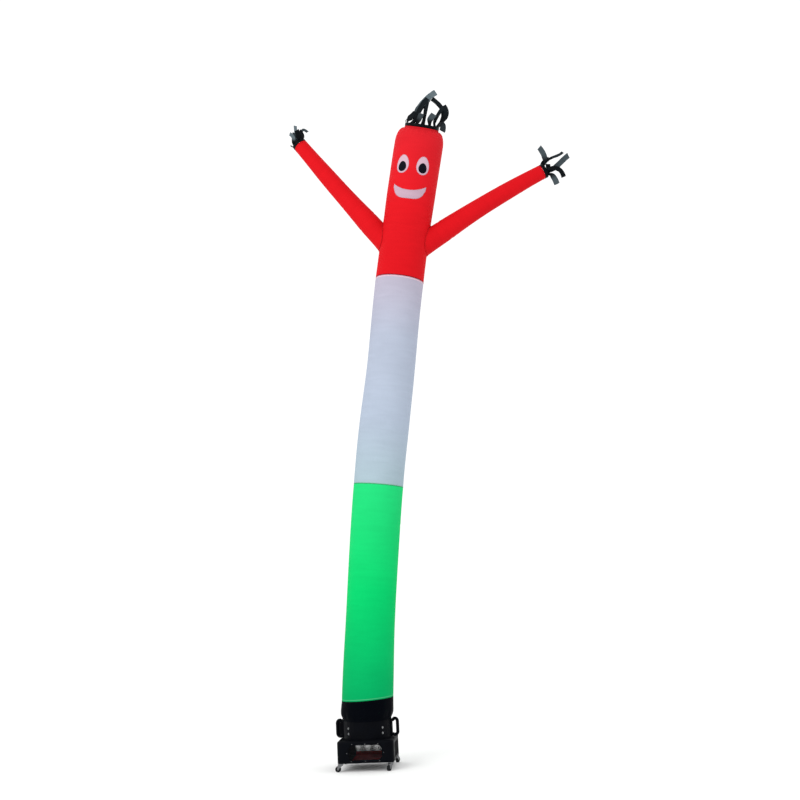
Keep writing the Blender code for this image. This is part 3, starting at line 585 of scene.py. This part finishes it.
def cloth_from(name, points, uv, material, thick, closed=True, outside=-1.0):
    """A sheet through a grid of points, with its lay in metres as UV."""
    rows, columns = points.shape[:2]
    u, v = uv
    if closed:
        # the lay runs on past the join
        u = np.column_stack((u, u[:, -1] + (u[:, 1] - u[:, 0])))
        v = np.column_stack((v, v[:, 0]))
    i, j = np.meshgrid(np.arange(rows - 1), np.arange(u.shape[1] - 1), indexing="ij")
    ring = ((i, j), (i, j + 1), (i + 1, j + 1), (i + 1, j))
    quads = np.stack([row * columns + column % columns for row, column in ring], -1)
    mesh = bpy.data.meshes.new(name)
    mesh.from_pydata(points.reshape(-1, 3).tolist(), [], quads.reshape(-1, 4).tolist())
    corners = np.stack([side[corner] for corner in ring for side in (u, v)], -1)
    mesh.uv_layers.new(name="lay").data.foreach_set("uv", corners.astype(np.float32).ravel())
    mesh.shade_smooth()
    return walled(name, mesh, material, thick, outside)


def make_weave():
    """Plain-woven nylon: threads each way, and the crinkle of thin cloth."""
    outputs = {"Threads": "Float", "Crinkles": "Float", "Tone": "Float"}
    tree, given, gives = group_tree("Shader", "nylon_weave", {"Lay": "Vector"}, outputs)
    turns = sums(tree, "DIVIDE", 2 * pi, THREAD_PITCH)
    threads = []
    for axis in ("X", "Y"):
        part = feed(tree, "ShaderNodeSeparateXYZ", {0: given["Lay"]}, output=axis)
        threads.append(sums(tree, "SINE", times(tree, part, turns)))
    crossed = feed(tree, "ShaderNodeMapping", {"Vector": given["Lay"], "Scale": (4.0, 26.0, 1.0)})
    crinkle, broad = noise(tree, crossed, 1.0, 5.0, 0.6), noise(tree, given["Lay"], 1.7, 3.0)
    both = sums(tree, "ADD", times(tree, broad, 0.6), times(tree, crinkle, 0.4))
    supply(tree, gives, {
        "Threads": times(tree, *threads),
        "Crinkles": crinkle,
        "Tone": ranged(tree, both, 0.36, 0.64),
    })
    return tree


WEAVE = make_weave()


def nylon(name, stops, roughness=0.6, gloss=0.04, crinkle=0.0011, bands=(), painted_sheen=None):
    """Coated woven nylon, coloured by (distance up the cloth, colour) stops.

    A band (distance, half width, colour) is where a seam's allowance shows
    through. The last argument is the colour of a painted sheen, a painted
    reflection of light, laid on where the cloth's sheen attribute is 1.
    """
    made, tree, shader = fresh_material(name)
    lay = feed(tree, "ShaderNodeUVMap", uv_map="lay")
    woven = use_effect(tree, WEAVE, {"Lay": lay})
    along = feed(tree, "ShaderNodeSeparateXYZ", {0: lay}, output="Y")
    color = stops[0][1]
    for (low, _), (high, upper) in zip(stops, stops[1:]):
        color = blend_colors(tree, ranged(tree, along, low, high), color, upper)
    for place, half, shown in bands:
        off = sums(tree, "ABSOLUTE", sums(tree, "SUBTRACT", along, place))
        color = blend_colors(tree, ranged(tree, off, half, half * 0.5), color, shown)
    if painted_sheen:
        lit = feed(tree, "ShaderNodeAttribute", attribute_name="painted_sheen", output="Fac")
        color = blend_colors(tree, lit, color, painted_sheen)
    tone = ranged(tree, woven["Tone"], to_low=0.95, to_high=1.05)
    dyed = feed(tree, "ShaderNodeVectorMath", {0: color, "Scale": tone}, operation="SCALE")
    coarse = {"Height": woven["Crinkles"], "Distance": crinkle, "Strength": 1.0}
    fine = {"Height": woven["Threads"], "Distance": 0.00005, "Strength": 0.7}
    fine["Normal"] = feed(tree, "ShaderNodeBump", coarse)
    supply(tree, shader, {
        "Base Color": dyed,
        "Roughness": ranged(tree, woven["Tone"], to_low=roughness + 0.06, to_high=roughness - 0.06),
        "Specular IOR Level": gloss,
        "Normal": feed(tree, "ShaderNodeBump", fine),
    })
    return made


def around(count):
    """Even angles round a full turn."""
    return np.arange(count) * 2 * pi / count


def levels(low, high, step, seams=()):
    """Heights at a step, with closer ones beside each seam."""
    rows = set(np.linspace(low, high, max(2, round((high - low) / step) + 1)).tolist())
    for seam in seams:
        rows |= {z for z in seam + np.arange(-0.012, 0.0121, 0.0015) if low <= z <= high}
    rows = np.array(sorted(rows))
    return rows[np.concatenate(([True], np.diff(rows) > 0.0004))]


def wrap_lay(angles, heights):
    """The lay, in metres, of cloth that goes round the tube."""
    return np.meshgrid(angles * LAY_R, heights)


def sew_cuff():
    rows = np.array((
        # height, radius, gather depth
        (0.338, 0.2116, 0.0), (0.34, 0.2124, 0.0), (0.344, 0.2128, 0.0), (0.35, 0.2126, 0.0),
        (0.353, 0.213, 0.0004), (0.357, 0.2152, 0.0014), (0.374, 0.2222, 0.003),
        (0.394, 0.2276, 0.0032), (0.416, 0.2303, 0.0022), (0.455, 0.23, 0.0012), (0.5158, 0.228, 0.0),
    ))
    heights = levels(CUFF_LOW, CUFF_HIGH - SEAM_GAP, 0.0032)
    angles = around(CUFF_ANGLES)
    a, z = np.meshgrid(angles, heights)
    radius, deep = np.interp(z, rows[:, 0], rows[:, 1]), np.interp(z, rows[:, 0], rows[:, 2])
    gather = deep * np.sin(11 * a + 1.2 * np.sin(2 * a))
    gather += 0.38 * deep * np.sin(29 * a + 2.1 * np.sin(3 * a + 9 * z)) * (1 - smoothstep(0.37, 0.47, z))
    seam = relief(a, z) * smoothstep(0.44, CUFF_HIGH, z)
    points = skin(a, z, gather + seam, radius)
    return cloth_from("cuff_cloth", points, wrap_lay(angles, heights), black_nylon, CUFF_THICK)


black_nylon = nylon(
    "black_nylon",
    ((CUFF_LOW, (0.0012, 0.0017, 0.0032)), (CUFF_HIGH, (0.0008, 0.0013, 0.0027))),
    roughness=0.5, gloss=0.012, crinkle=0.0016,
)
cuff_cloth = sew_cuff()
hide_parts("cuff")

# Seam stitches -------------------------------------
# The tube's seams are felled and topstitched: two rows of bonded thread, each
# stitch a short spindle lying in the cloth.
STITCH_LONG, CLOSE_STITCH, BACK_STITCH = 0.0052, 0.004, 0.008
THREAD_R = 0.00055
SEAM_ROWS = (-0.0045, 0.0045)
STITCH_LIFT = 0.0005


def make_stitch_tree():
    """Spindles of thread laid along lines at an even step."""
    inputs = {"Lines": "Geometry", "Stitch length": "Float", "Thread radius": "Float", "Thread": "Material"}
    tree, given, gives = group_tree("Geometry", "stitch_run", inputs, {"Stitches": "Geometry"})
    step, radius = given["Stitch length"], given["Thread radius"]
    curve = feed(tree, "GeometryNodeMeshToCurve", {"Mesh": given["Lines"]})
    even = feed(tree, "GeometryNodeResampleCurve", {"Curve": curve, "Length": step}, mode="LENGTH")
    spindle = feed(tree, "GeometryNodeMeshIcoSphere", {"Radius": 1.0, "Subdivisions": 1})
    half = times(tree, step, 0.42)
    size = feed(tree, "ShaderNodeCombineXYZ", {0: half, 1: radius, 2: radius})
    tangent = feed(tree, "GeometryNodeInputTangent")
    turn = feed(tree, "FunctionNodeAlignRotationToVector", {"Vector": tangent}, axis="X")
    laid = {"Points": even, "Instance": spindle, "Rotation": turn, "Scale": size}
    stitches = feed(tree, "GeometryNodeInstanceOnPoints", laid)
    real = feed(tree, "GeometryNodeRealizeInstances", {0: stitches})
    supply(tree, gives, {"Stitches": painted(tree, real, given["Thread"])})
    return tree


def stitch(name, runs, thread, closed=True, length=STITCH_LONG):
    """Rows of stitches along runs of points."""
    points, edges = [], []
    for run in runs:
        first = len(points)
        points += list(run)
        edges += [(k, k + 1) for k in range(first, len(points) - 1)]
        if closed:
            edges.append((len(points) - 1, first))
    values = {"Stitch length": length, "Thread radius": THREAD_R, "Thread": thread}
    grow(name, points, edges, STITCH_TREE, values)


def thread_of(name, color):
    """Bonded thread with a slight unevenness of dye."""
    made, tree, shader = fresh_material(name)
    fleck = noise(tree, feed(tree, "ShaderNodeTexCoord", output="Object"), 260.0, 2.0)
    dyed = blend_colors(tree, fleck, tuple(c * 0.7 for c in color), color)
    supply(tree, shader, {"Base Color": dyed, "Roughness": 0.55, "Specular IOR Level": 0.25})
    return made


def back_seam(name, low, high, thread):
    """Two rows down the middle of the back, where a length is closed."""
    z = np.arange(low + 0.015, high - 0.012, 0.012)
    rows = []
    for aside in SEAM_ROWS:
        angle = np.full(z.shape, FACE_ANGLE + pi + aside / LAY_R)
        rows.append(skin(angle, z, relief(angle, z) + STITCH_LIFT))
    stitch(name, rows, thread, closed=False, length=BACK_STITCH)


def seam_rows(z):
    """Two rows round the tube, one each side of a cross seam."""
    angles = around(STITCHED_ANGLES)
    rows = [np.full_like(angles, z + drop) for drop in SEAM_ROWS]
    return [skin(angles, row, relief(angles, row) + STITCH_LIFT) for row in rows]


STITCH_TREE = make_stitch_tree()
black_thread = thread_of("black_thread", (0.004, 0.0045, 0.006))
white_thread = thread_of("white_thread", (0.36, 0.42, 0.44))
red_thread = thread_of("red_thread", (0.3, 0.01, 0.014))
stitch("stitches_cuff_seam", seam_rows(CUFF_HIGH), black_thread)

# Green panel ---------------------------------------
# The lowest length of the tube: thin bright green nylon, cut as one rectangle
# and closed by a seam down the back, puckered along both cross seams.
green_nylon = nylon("green_nylon", (
    # Darker towards the cuff: painted shade, where less light comes down through the cloth.
    # up the cloth, colour
    (CUFF_HIGH, (0.001, 0.33, 0.098)),
    (1.45, (0.002, 0.52, 0.128)),
    (GREEN_HIGH, (0.016, 0.575, 0.168)),
), gloss=0.02, bands=(
    # height, half width, colour
    (CUFF_HIGH + 0.012, 0.0035, (0.07, 0.4, 0.19)),
    (GREEN_HIGH - 0.004, 0.005, (0.004, 0.3, 0.09)),
))


def sew_panel(name, low, high, material):
    """One length of the tube, from seam to seam."""
    low, high = low + SEAM_GAP, high - SEAM_GAP
    heights = levels(low, high, 0.0115, (low, high))
    angles = around(TUBE_ANGLES)
    a, z = np.meshgrid(angles, heights)
    return cloth_from(name, skin(a, z, relief(a, z)), wrap_lay(angles, heights), material, CLOTH_THICK)


green_panel = sew_panel("green_length", CUFF_HIGH, GREEN_HIGH, green_nylon)
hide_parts("panel_green")
stitch("stitches_green_seam", seam_rows(GREEN_HIGH), white_thread)
green_thread = thread_of("green_thread", (0.004, 0.26, 0.07))
back_seam("stitches_green_back", CUFF_HIGH, GREEN_HIGH, green_thread)

# White panel ---------------------------------------
# The middle length: the same nylon in white, cool in the light that comes
# through it.
white_nylon = nylon("white_nylon", (
    (GREEN_HIGH, (0.322, 0.42, 0.47)),
    (2.95, (0.365, 0.425, 0.52)),
    (3.7, (0.38, 0.42, 0.518)),
    (WHITE_HIGH, (0.412, 0.38, 0.47)),
), bands=(
    (GREEN_HIGH + 0.005, 0.0045, (0.26, 0.42, 0.4)),
    (WHITE_HIGH - 0.009, 0.006, (0.66, 0.45, 0.53)),
))
white_panel = sew_panel("white_length", GREEN_HIGH, WHITE_HIGH, white_nylon)
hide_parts("panel_white")
stitch("stitches_white_seam", seam_rows(WHITE_HIGH), red_thread)
back_seam("stitches_white_back", GREEN_HIGH, WHITE_HIGH, white_thread)

# Chest and head ------------------------------------
# The top length, in red, runs from the seam over the shoulders of the head to
# the hemmed vent. Pleats take up its fullness round the vent.
CROWN_RISE, VENT_R = 0.145, 0.16
PLEATS = 22
red_nylon = nylon("red_nylon", (
    (WHITE_HIGH, (0.585, 0.006, 0.0105)),
    (4.9, (0.6, 0.007, 0.012)),
    (SHOULDER, (0.6, 0.0125, 0.02)),
), gloss=0.03, bands=((WHITE_HIGH + 0.005, 0.005, (0.2, 0.004, 0.01)),))


def crown_grid(angles):
    """Points and lay from the shoulder over the crown to the vent's edge."""
    t = np.concatenate((np.linspace(0, pi / 2, 26)[1:], [pi / 2] * 5))
    z = SHOULDER + CROWN_RISE * np.sin(t)
    z[-5:] = np.linspace(5.702, VENT - SEAM_GAP, 5)
    radius = VENT_R + (tube_radius(np.array(SHOULDER)) - VENT_R) * np.cos(t)
    radius[-5:-1] += 0.001
    gather = 0.0032 * smoothstep(0.2, 1.2, t)
    gather[-5:] = 0.0
    a, z = np.meshgrid(angles, z)
    pleat = gather[:, None] * np.sin(PLEATS * a + 1.3 * np.sin(3 * a))
    low = relief(a, np.full_like(z, SHOULDER)) * np.cos(t)[:, None]
    travel = SHOULDER + np.concatenate((t[:-5] * 0.11, 0.173 + np.linspace(0.002, 0.014, 5)))
    return skin(a, z, pleat + low, radius[:, None] * np.ones_like(a)), travel


def sew_head():
    angles = around(TUBE_ANGLES)
    heights = levels(WHITE_HIGH + SEAM_GAP, SHOULDER, 0.0105, (WHITE_HIGH,))
    a, z = np.meshgrid(angles, heights)
    crown, travel = crown_grid(angles)
    points = np.concatenate((skin(a, z, relief(a, z)), crown))
    lay = wrap_lay(angles, np.concatenate((heights, travel)))
    return cloth_from("red_length", points, lay, red_nylon, CLOTH_THICK)


red_panel = sew_head()
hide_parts("panel_red")
back_seam("stitches_red_back", WHITE_HIGH, SHOULDER - 0.04, red_thread)
vent_hem = [skin(around(STITCHED_ANGLES), z, 0.0, VENT_R + 0.0014) for z in (5.7045, 5.709)]
stitch("stitches_vent_hem", vent_hem, red_thread)

# Arms ----------------------------------------------
# Two tapered red sleeves, each stitched on where it meets the chest and open at
# the hand. They stand out stiffly while the fan runs.
ARM_LINES = {
    # right, back, up of the four guide points from inside the chest to the hand
    "right": ((0.6, -0.012, 4.517), (0.977, -0.03, 4.762), (1.444, 0.02, 5.053), (1.848, 0.05, 5.25)),
    "left": ((0.407, 0.0, 4.57), (0.155, 0.07, 4.9), (-0.182, 0.166, 5.354), (-0.417, 0.25, 5.69)),
}
ARM_LONG, SLEEVE_ROOT_R, SLEEVE_TAPER, HAND_R = 1.55, 0.106, 0.038, 0.068
ARM_FOLD_R, ARM_LAY_R = 0.09, 0.087
SLEEVE_ANGLES = 72
ARM_FOLDS = (
    # degrees round the sleeve, share of its length, half length, width, depth
    (0, 0.27, 0.07, 0.01, 0.003), (180, 0.25, 0.07, 0.01, 0.0032), (60, 0.31, 0.06, 0.009, 0.0022),
    (-70, 0.34, 0.06, 0.01, 0.0024), (150, 0.45, 0.07, 0.009, 0.0016), (-20, 0.56, 0.06, 0.009, 0.0016),
    (200, 0.68, 0.05, 0.008, 0.0015), (40, 0.8, 0.05, 0.008, 0.0014), (-100, 0.9, 0.05, 0.008, 0.0016),
)


def world(guide):
    """A point given as right, back and up, in the frame's axes."""
    right, back, up = guide
    return right * RIGHTWARD + back * BACKWARD + up * UP


def bezier(guides, t):
    """Points at shares of a curve through four guides."""
    t = np.asarray(t, float)[..., None]
    a, b, c, d = (np.asarray(g, float) for g in guides)
    s = 1 - t
    return s**3 * a + 3 * s * s * t * b + 3 * s * t * t * c + t**3 * d


def sleeve_axes(line, t):
    """Across, back and along a sleeve at shares of its length."""
    along = bezier(line, np.minimum(t + 0.01, 1)) - bezier(line, np.maximum(t - 0.01, 0))
    along /= np.linalg.norm(along, axis=-1, keepdims=True)
    across = np.cross(BACKWARD, along)
    across /= np.linalg.norm(across, axis=-1, keepdims=True)
    return across, np.cross(along, across), along


def sleeve(line, angle, t, out=0.0):
    """Points on a sleeve's cloth."""
    across, back, _ = sleeve_axes(line, t)
    radius = SLEEVE_ROOT_R - SLEEVE_TAPER * t + 0.004 * swell(t - 0.24, 0.1) + out
    return bezier(line, t) + radius[..., None] * swung(angle, across, back)


def outside_tube(points):
    """Distance of points from the tube's cloth, outwards."""
    z = points[..., 2].copy()
    for _ in range(4):
        z = z + ((points - tube_middle(z)) * tube_axes(z)[2]).sum(-1)
    off = points - tube_middle(z)
    angle = np.arctan2((off * BACKWARD).sum(-1), (off * tube_axes(z)[0]).sum(-1))
    return np.linalg.norm(off, axis=-1) - tube_radius(z) - relief(angle, z)


def sew_arm(side):
    line = [world(guide) for guide in ARM_LINES[side]]
    angles = around(SLEEVE_ANGLES)
    steps = np.linspace(0, 0.5, 501)
    a, t = np.meshgrid(angles, steps)
    inside = outside_tube(sleeve(line, a, t)) < 0.0002
    root = steps[np.array([np.nonzero(column)[0].max() for column in inside.T])]
    share = np.concatenate((np.linspace(0, 0.05, 12), np.linspace(0.05, 1, 118)[1:]))
    t = root + (1 - root) * share[:, None]
    a = np.broadcast_to(angles, t.shape)
    out = 0.0008 * np.sin(3 * a + 9 * t) + 0.0006 * np.sin(2 * a - 17 * t + 1)
    from_root = (t - root) * ARM_LONG
    gather = 0.0016 * np.sin(13 * a + 1.5 * np.sin(2 * a)) * smoothstep(0, 0.01, from_root)
    out += np.exp(-from_root / 0.05) * gather
    out += 0.0035 * swell(from_root, 0.01)
    for degrees, high, half_long, wide, deep in ARM_FOLDS:
        along = wrapped(a - radians(degrees)) * ARM_FOLD_R
        rise = (t - high) * ARM_LONG + 0.8 * along * along
        out -= deep * swell(along, half_long) * dent(rise / wide)
    lay = a * ARM_LAY_R, t * ARM_LONG
    arm = cloth_from(f"sleeve_{side}", sleeve(line, a, t, out), lay, red_nylon, CLOTH_THICK)
    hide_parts(f"arm_{side}")
    rows = [sleeve(line, angles, root + d, 0.0044) for d in (0.0035, 0.0075)]
    rows += [sleeve(line, angles, np.full_like(angles, t), 0.0007) for t in (0.988, 0.991)]
    stitch(f"stitches_arm_{side}", rows, red_thread)
    return line, arm


arms = {side: sew_arm(side) for side in ARM_LINES}

# Face ----------------------------------------------
# Eyes and mouth are cut from white nylon and the pupils from black, laid on
# the red cloth and sewn round their edges with a close zigzag.
EYE_ASIDE, EYE_Z, MOUTH_ASIDE = radians(24.6), 5.2885, radians(41)
PATCH_THICK, PATCH_INSET, PATCH_STITCH_LIFT = 0.0008, 0.0025, 0.0011
face_white = nylon("face_white_nylon", ((5.05, (0.47, 0.325, 0.405)), (5.3, (0.545, 0.375, 0.45))))
pupil_black = nylon(
    "pupil_black_nylon",
    ((5.22, (0.002, 0.0022, 0.006)), (5.31, (0.003, 0.0032, 0.008))),
    roughness=0.55, gloss=0.05,
)


def lay_patch(name, node, angle, z, material, slot, out, closed, flat, area):
    """A patch on the skin through a grid of angles and heights."""
    points = skin(angle, z, relief(angle, z) + out)
    made = cloth_from(name, points, (angle * LAY_R, z), material, PATCH_THICK, closed, outside=1.0)
    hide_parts(node)
    return made


def egg(side, half_wide, half_tall, drop, count, share=1.0):
    """Angle and height round an egg, wider low down."""
    a = around(count)
    sideways = half_wide * np.cos(a) * (1 - 0.12 * np.sin(a)) * share
    return FACE_ANGLE + side * EYE_ASIDE + sideways / HEAD_R, EYE_Z - drop + half_tall * np.sin(a) * share


def sew_eyes():
    """Two eyes with their pupils, in rings that run inwards."""
    for label, side in (("left", -1), ("right", 1)):
        for part, half_wide, half_tall, drop, out, rings, material, slot, thread in (
            ("eye", 0.061, 0.0865, 0.0, 0.0008, 14, face_white, "white_cloth", red_thread),
            ("pupil", 0.039, 0.0475, 0.023, 0.0019, 9, pupil_black, "black_cloth", black_thread),
        ):
            grid = [egg(side, half_wide, half_tall, drop, 64, share) for share in np.linspace(1, 0.02, rings)]
            angle, z = (np.array(rows) for rows in zip(*grid))
            flat, area = (2 * half_wide, 2 * half_tall), pi * half_wide * half_tall
            names = f"{part}_patch_{label}", f"{part}_{label}"
            lay_patch(*names, angle, z, material, slot, out, True, flat, area)
            edge = egg(side, half_wide - PATCH_INSET, half_tall - PATCH_INSET, drop, 120)
            run = skin(*edge, relief(*edge) + out + PATCH_STITCH_LIFT)
            stitch(f"stitches_{part}_{label}", [run], thread, length=CLOSE_STITCH)


def mouth_edge(u):
    """Lower and upper height of the mouth's crescent across its span."""
    high = 5.105 - 0.057 * (1 - u * u)
    low = 5.059 - 0.091 * (1 - np.abs(u) ** 3.6) + 0.012 * smoothstep(0.75, 1, np.abs(u)) ** 2
    return low, high


def sew_mouth():
    """One crescent, stitched just inside its edge."""
    u = np.linspace(-1, 1, 81)
    low, high = mouth_edge(u)
    z = low + (high - low) * np.linspace(0, 1, 17)[:, None]
    angle = np.broadcast_to(FACE_ANGLE + MOUTH_ASIDE * u, z.shape)
    out, flat, area = 0.0008, (0.33, 0.15), 0.0262
    lay_patch("mouth_patch", "mouth", angle, z, face_white, "white_cloth", out, False, flat, area)
    inner = np.concatenate((u * 0.985, u[::-1] * 0.985))
    heights = np.concatenate((low + PATCH_INSET, high[::-1] - PATCH_INSET))
    angles = FACE_ANGLE + MOUTH_ASIDE * inner
    run = skin(angles, heights, relief(angles, heights) + out + PATCH_STITCH_LIFT)
    stitch("stitches_mouth", [run], red_thread, length=CLOSE_STITCH)


sew_eyes()
sew_mouth()

# Streamers -----------------------------------------
# Black nylon ribbons are sewn into a band round the vent and round each open
# hand, and the air blows them up and out. Each curls its own way.
HAIR = {
    # slot: width, painted sheen, then points at thirds and the end as (across, behind, out), in millimetres
    1: (52, 0.03, (190, 30, 110), (204, 30, 177), (166, 30, 238)),
    3: (44, 0.03, (178, 88, 138), (152, 80, 220), (50, 60, 290)),
    8: (30, 0.03, (3, 120, 108), (2, 100, 175), (9, 90, 248)),
    11: (44, 0.03, (-71, 100, 108), (-38, 80, 192), (27, 60, 283)),
    14: (58, 0.8, (-84, 0, 129), (-14, 0, 247), (80, -10, 346)),
    16: (34, 0.3, (-158, -20, 46), (-152, -26, 62), (-138, -34, 80)),
    18: (56, 0.03, (-130, -80, 60), (-104, -82, 92), (-72, -75, 135)),
    20: (46, 0.03, (-62, -100, 90), (-36, -80, 181), (17, -60, 275)),
    22: (50, 0.25, (-34, -155, 59), (-24, -162, 90), (-13, -166, 123)),
    24: (30, 0.03, (17, -140, 113), (20, -120, 177), (22, -100, 241)),
    26: (56, 0.35, (71, -160, 68), (78, -170, 96), (102, -170, 134)),
    28: (34, 0.03, (118, -130, 83), (143, -115, 155), (172, -100, 222)),
    30: (56, 0.12, (172, -75, 60), (194, -85, 50), (198, -92, -4)),
}
HANDS = {
    # slot: width, painted sheen, then points at thirds and the end as (right, back, up), in millimetres
    "right": {
        2: (44, 0.0, (1913, 120, 5266), (1923, 130, 5306), (1922, 130, 5355)),
        4: (52, 0.4, (1961, 90, 5290), (2036, 70, 5345), (2112, 60, 5406)),
        6: (40, 0.0, (1862, 65, 5338), (1890, 50, 5360), (1922, 45, 5374)),
        8: (52, 0.4, (1882, 30, 5363), (1870, 20, 5420), (1834, 10, 5480)),
        10: (26, 0.1, (1929, 0, 5362), (1989, 0, 5384), (2049, -10, 5415)),
        12: (44, 0.0, (1940, -30, 5258), (2000, -35, 5240), (2038, -40, 5163)),
        14: (54, 0.45, (1938, 10, 5200), (1960, 0, 5160), (1975, -10, 5108)),
    },
    "left": {
        0: (26, 0.3, (-403, 250, 5805), (-395, 240, 5846), (-347, 230, 5818)),
        2: (42, 0.0, (-414, 310, 5760), (-432, 315, 5806), (-447, 315, 5851)),
        4: (30, 0.9, (-455, 285, 5751), (-464, 280, 5836), (-467, 280, 5909)),
        6: (40, 0.2, (-482, 255, 5716), (-483, 245, 5765), (-472, 240, 5821)),
        8: (24, 0.4, (-500, 242, 5686), (-508, 240, 5690), (-516, 238, 5692)),
        10: (34, 0.8, (-479, 190, 5726), (-483, 185, 5757), (-515, 180, 5792)),
        12: (46, 0.0, (-434, 182, 5756), (-439, 172, 5788), (-447, 165, 5820)),
        14: (42, 0.0, (-389, 210, 5769), (-403, 210, 5804), (-422, 210, 5833)),
    },
}
VENT_BAND, HAND_BAND, BAND_START, STREAMER_THICK = 0.03, 0.034, 0.0002, 0.0008
# The last colour here is a painted sheen: a painted reflection of light on the ribbons' broad sides.
streamer_black = nylon(
    "streamer_black_nylon",
    ((0.0, (0.001, 0.0017, 0.0028)), (0.25, (0.0022, 0.0044, 0.0064))),
    roughness=0.42, gloss=0.055, crinkle=0.0012, painted_sheen=(0.13, 0.17, 0.19),
)


def ease(low, high, x):
    """A smoothstep as a plain number, for work with vectors."""
    return float(smoothstep(low, high, x))


def through(start, near, far, end):
    """Guide points of the curve that passes near and far at its thirds."""
    first = (18 * near - 9 * far + 2 * end - 5 * start) / 6
    second = (18 * far - 9 * near + 2 * start - 5 * end) / 6
    return start, first, second, end


def ribbon_rows(line, length, side, out, wide, index):
    """Rows across a ribbon that leaves its band edgewise and turns to face the front."""
    sections = max(14, round(length / 0.012))
    frontality = ease(0.05, 0.15, length)
    root_wide = side.length
    heading, edge = out.copy(), side.normalized()
    rows = []
    for k in range(sections + 1):
        t = k / sections
        middle = Vector(bezier(line, t))
        if k:
            ahead, behind = bezier(line, min(t + 0.01, 1)), bezier(line, max(t - 0.01, 0))
            turned_to = (Vector(ahead) - Vector(behind)).normalized()
            side.rotate(heading.rotation_difference(turned_to))
            heading = turned_to
        frontal = heading.cross(Vector(BACKWARD)).normalized()
        if frontal.dot(edge) < 0:
            frontal = -frontal
        edge = side.normalized().lerp(frontal, frontality * ease(0, 0.6, t)).normalized()
        spread = root_wide + (wide - root_wide) * ease(0, 0.5, t)
        rise = edge.cross(heading).normalized()
        cup = 0.1 * spread * ease(0, 0.3, t) * sin(index + 4 * t)
        flutter = 0.0022 * sin(9 * t * length / 0.1 + index) * ease(0, 0.3, t)
        row = []
        for s in (-1.0, -0.667, -0.333, 0.0, 0.333, 0.667, 1.0):
            slant = 0.1 * spread * s * ease(0.85, 1, t)
            lift = cup * (1 - s * s) + flutter * s
            row.append(middle + s * spread / 2 * edge + lift * rise + slant * heading)
        rows.append(row)
    return rows


def sew_streamers(name, node, centre, axes, radius, high, count, ribbons, place):
    """A band with its ribbons, as one sheet each, on one holder."""
    across, back, out = (Vector(a) for a in axes)
    centre = Vector(centre)
    bm = bmesh.new()
    lay = bm.loops.layers.uv.new("lay")
    painted_sheen_layer = bm.verts.layers.float.new("painted_sheen")

    def sheet_rows(rows, closed, step_u, step_v, painted_sheen=0.0):
        """Quads between rows of points, with the lay in metres."""
        made = [[bm.verts.new(p) for p in row] for row in rows]
        # The painted sheen grows along each ribbon: a painted reflection of light on its broad side.
        for step, row in enumerate(made):
            for vert in row:
                vert[painted_sheen_layer] = painted_sheen * ease(0.2, 0.65, step / len(made))
        columns = len(rows[0])
        for i in range(len(made) - 1):
            for j in range(columns if closed else columns - 1):
                k = (j + 1) % columns
                face = bm.faces.new((made[i][j], made[i][k], made[i + 1][k], made[i + 1][j]))
                face.smooth = True
                for loop, (du, dv) in zip(face.loops, ((0, 0), (1, 0), (1, 1), (0, 1))):
                    loop[lay].uv = ((j + du) * step_u, (i + dv) * step_v)

    def ring_point(index, r, h):
        a = 2 * pi * index / count
        return centre + h * out + r * (cos(a) * across + sin(a) * back)

    fine = count * 6
    band = []
    for share, bulge in ((0, 0), (0.25, 0.0006), (0.5, 0.0008), (0.75, 0.0006), (1, 0)):
        h = max(share * high, BAND_START)
        row = []
        for k in range(fine):
            ripple = 0.0008 * sin(k * 0.9) * h / high
            row.append(ring_point(k / 6, radius + bulge + ripple, h))
        band.append(row)
    sheet_rows(band, True, 2 * pi * radius / fine, high / 4)
    for index, (wide, painted_sheen, *stops) in ribbons.items():
        low, top = ring_point(index, radius, high), ring_point(index + 1, radius, high)
        root = (low + top) / 2 - 0.00075 * (low + top - 2 * centre).normalized()
        stops = [root] + [Vector(place([mm / 1000 for mm in stop])) for stop in stops]
        length = sum((b - a).length for a, b in zip(stops, stops[1:]))
        wide = wide / 1000
        rows = ribbon_rows(through(*stops), length, top - low, out, wide, index)
        sheet_rows(rows, False, wide / 6, length / (len(rows) - 1), painted_sheen)
    mesh = bpy.data.meshes.new(name)
    bm.to_mesh(mesh)
    bm.free()
    obj = walled(name, mesh, streamer_black, STREAMER_THICK, 0.0)
    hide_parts(node)


def sew_hair():
    """The streamers round the vent."""
    right, back, normal = tube_axes(np.array(VENT))
    centre = tube_middle(np.array(VENT))

    def place(stop):
        return centre + stop[0] * right + stop[1] * back + stop[2] * normal

    sew_streamers(
        "hair_streamers", "hair", centre, (right, back, normal), VENT_R, VENT_BAND, 32,
        HAIR, place,
    )


def sew_hands():
    """The streamers round both open hands."""
    for side, (line, arm) in arms.items():
        axes = sleeve_axes(line, np.array(1.0))
        centre = bezier(line, 1.0) + 0.00015 * axes[2]
        sew_streamers(
            f"fringe_streamers_{side}", f"fringe_{side}", centre, axes, HAND_R, HAND_BAND, 16,
            HANDS[side], world,
        )


sew_hair()
sew_hands()
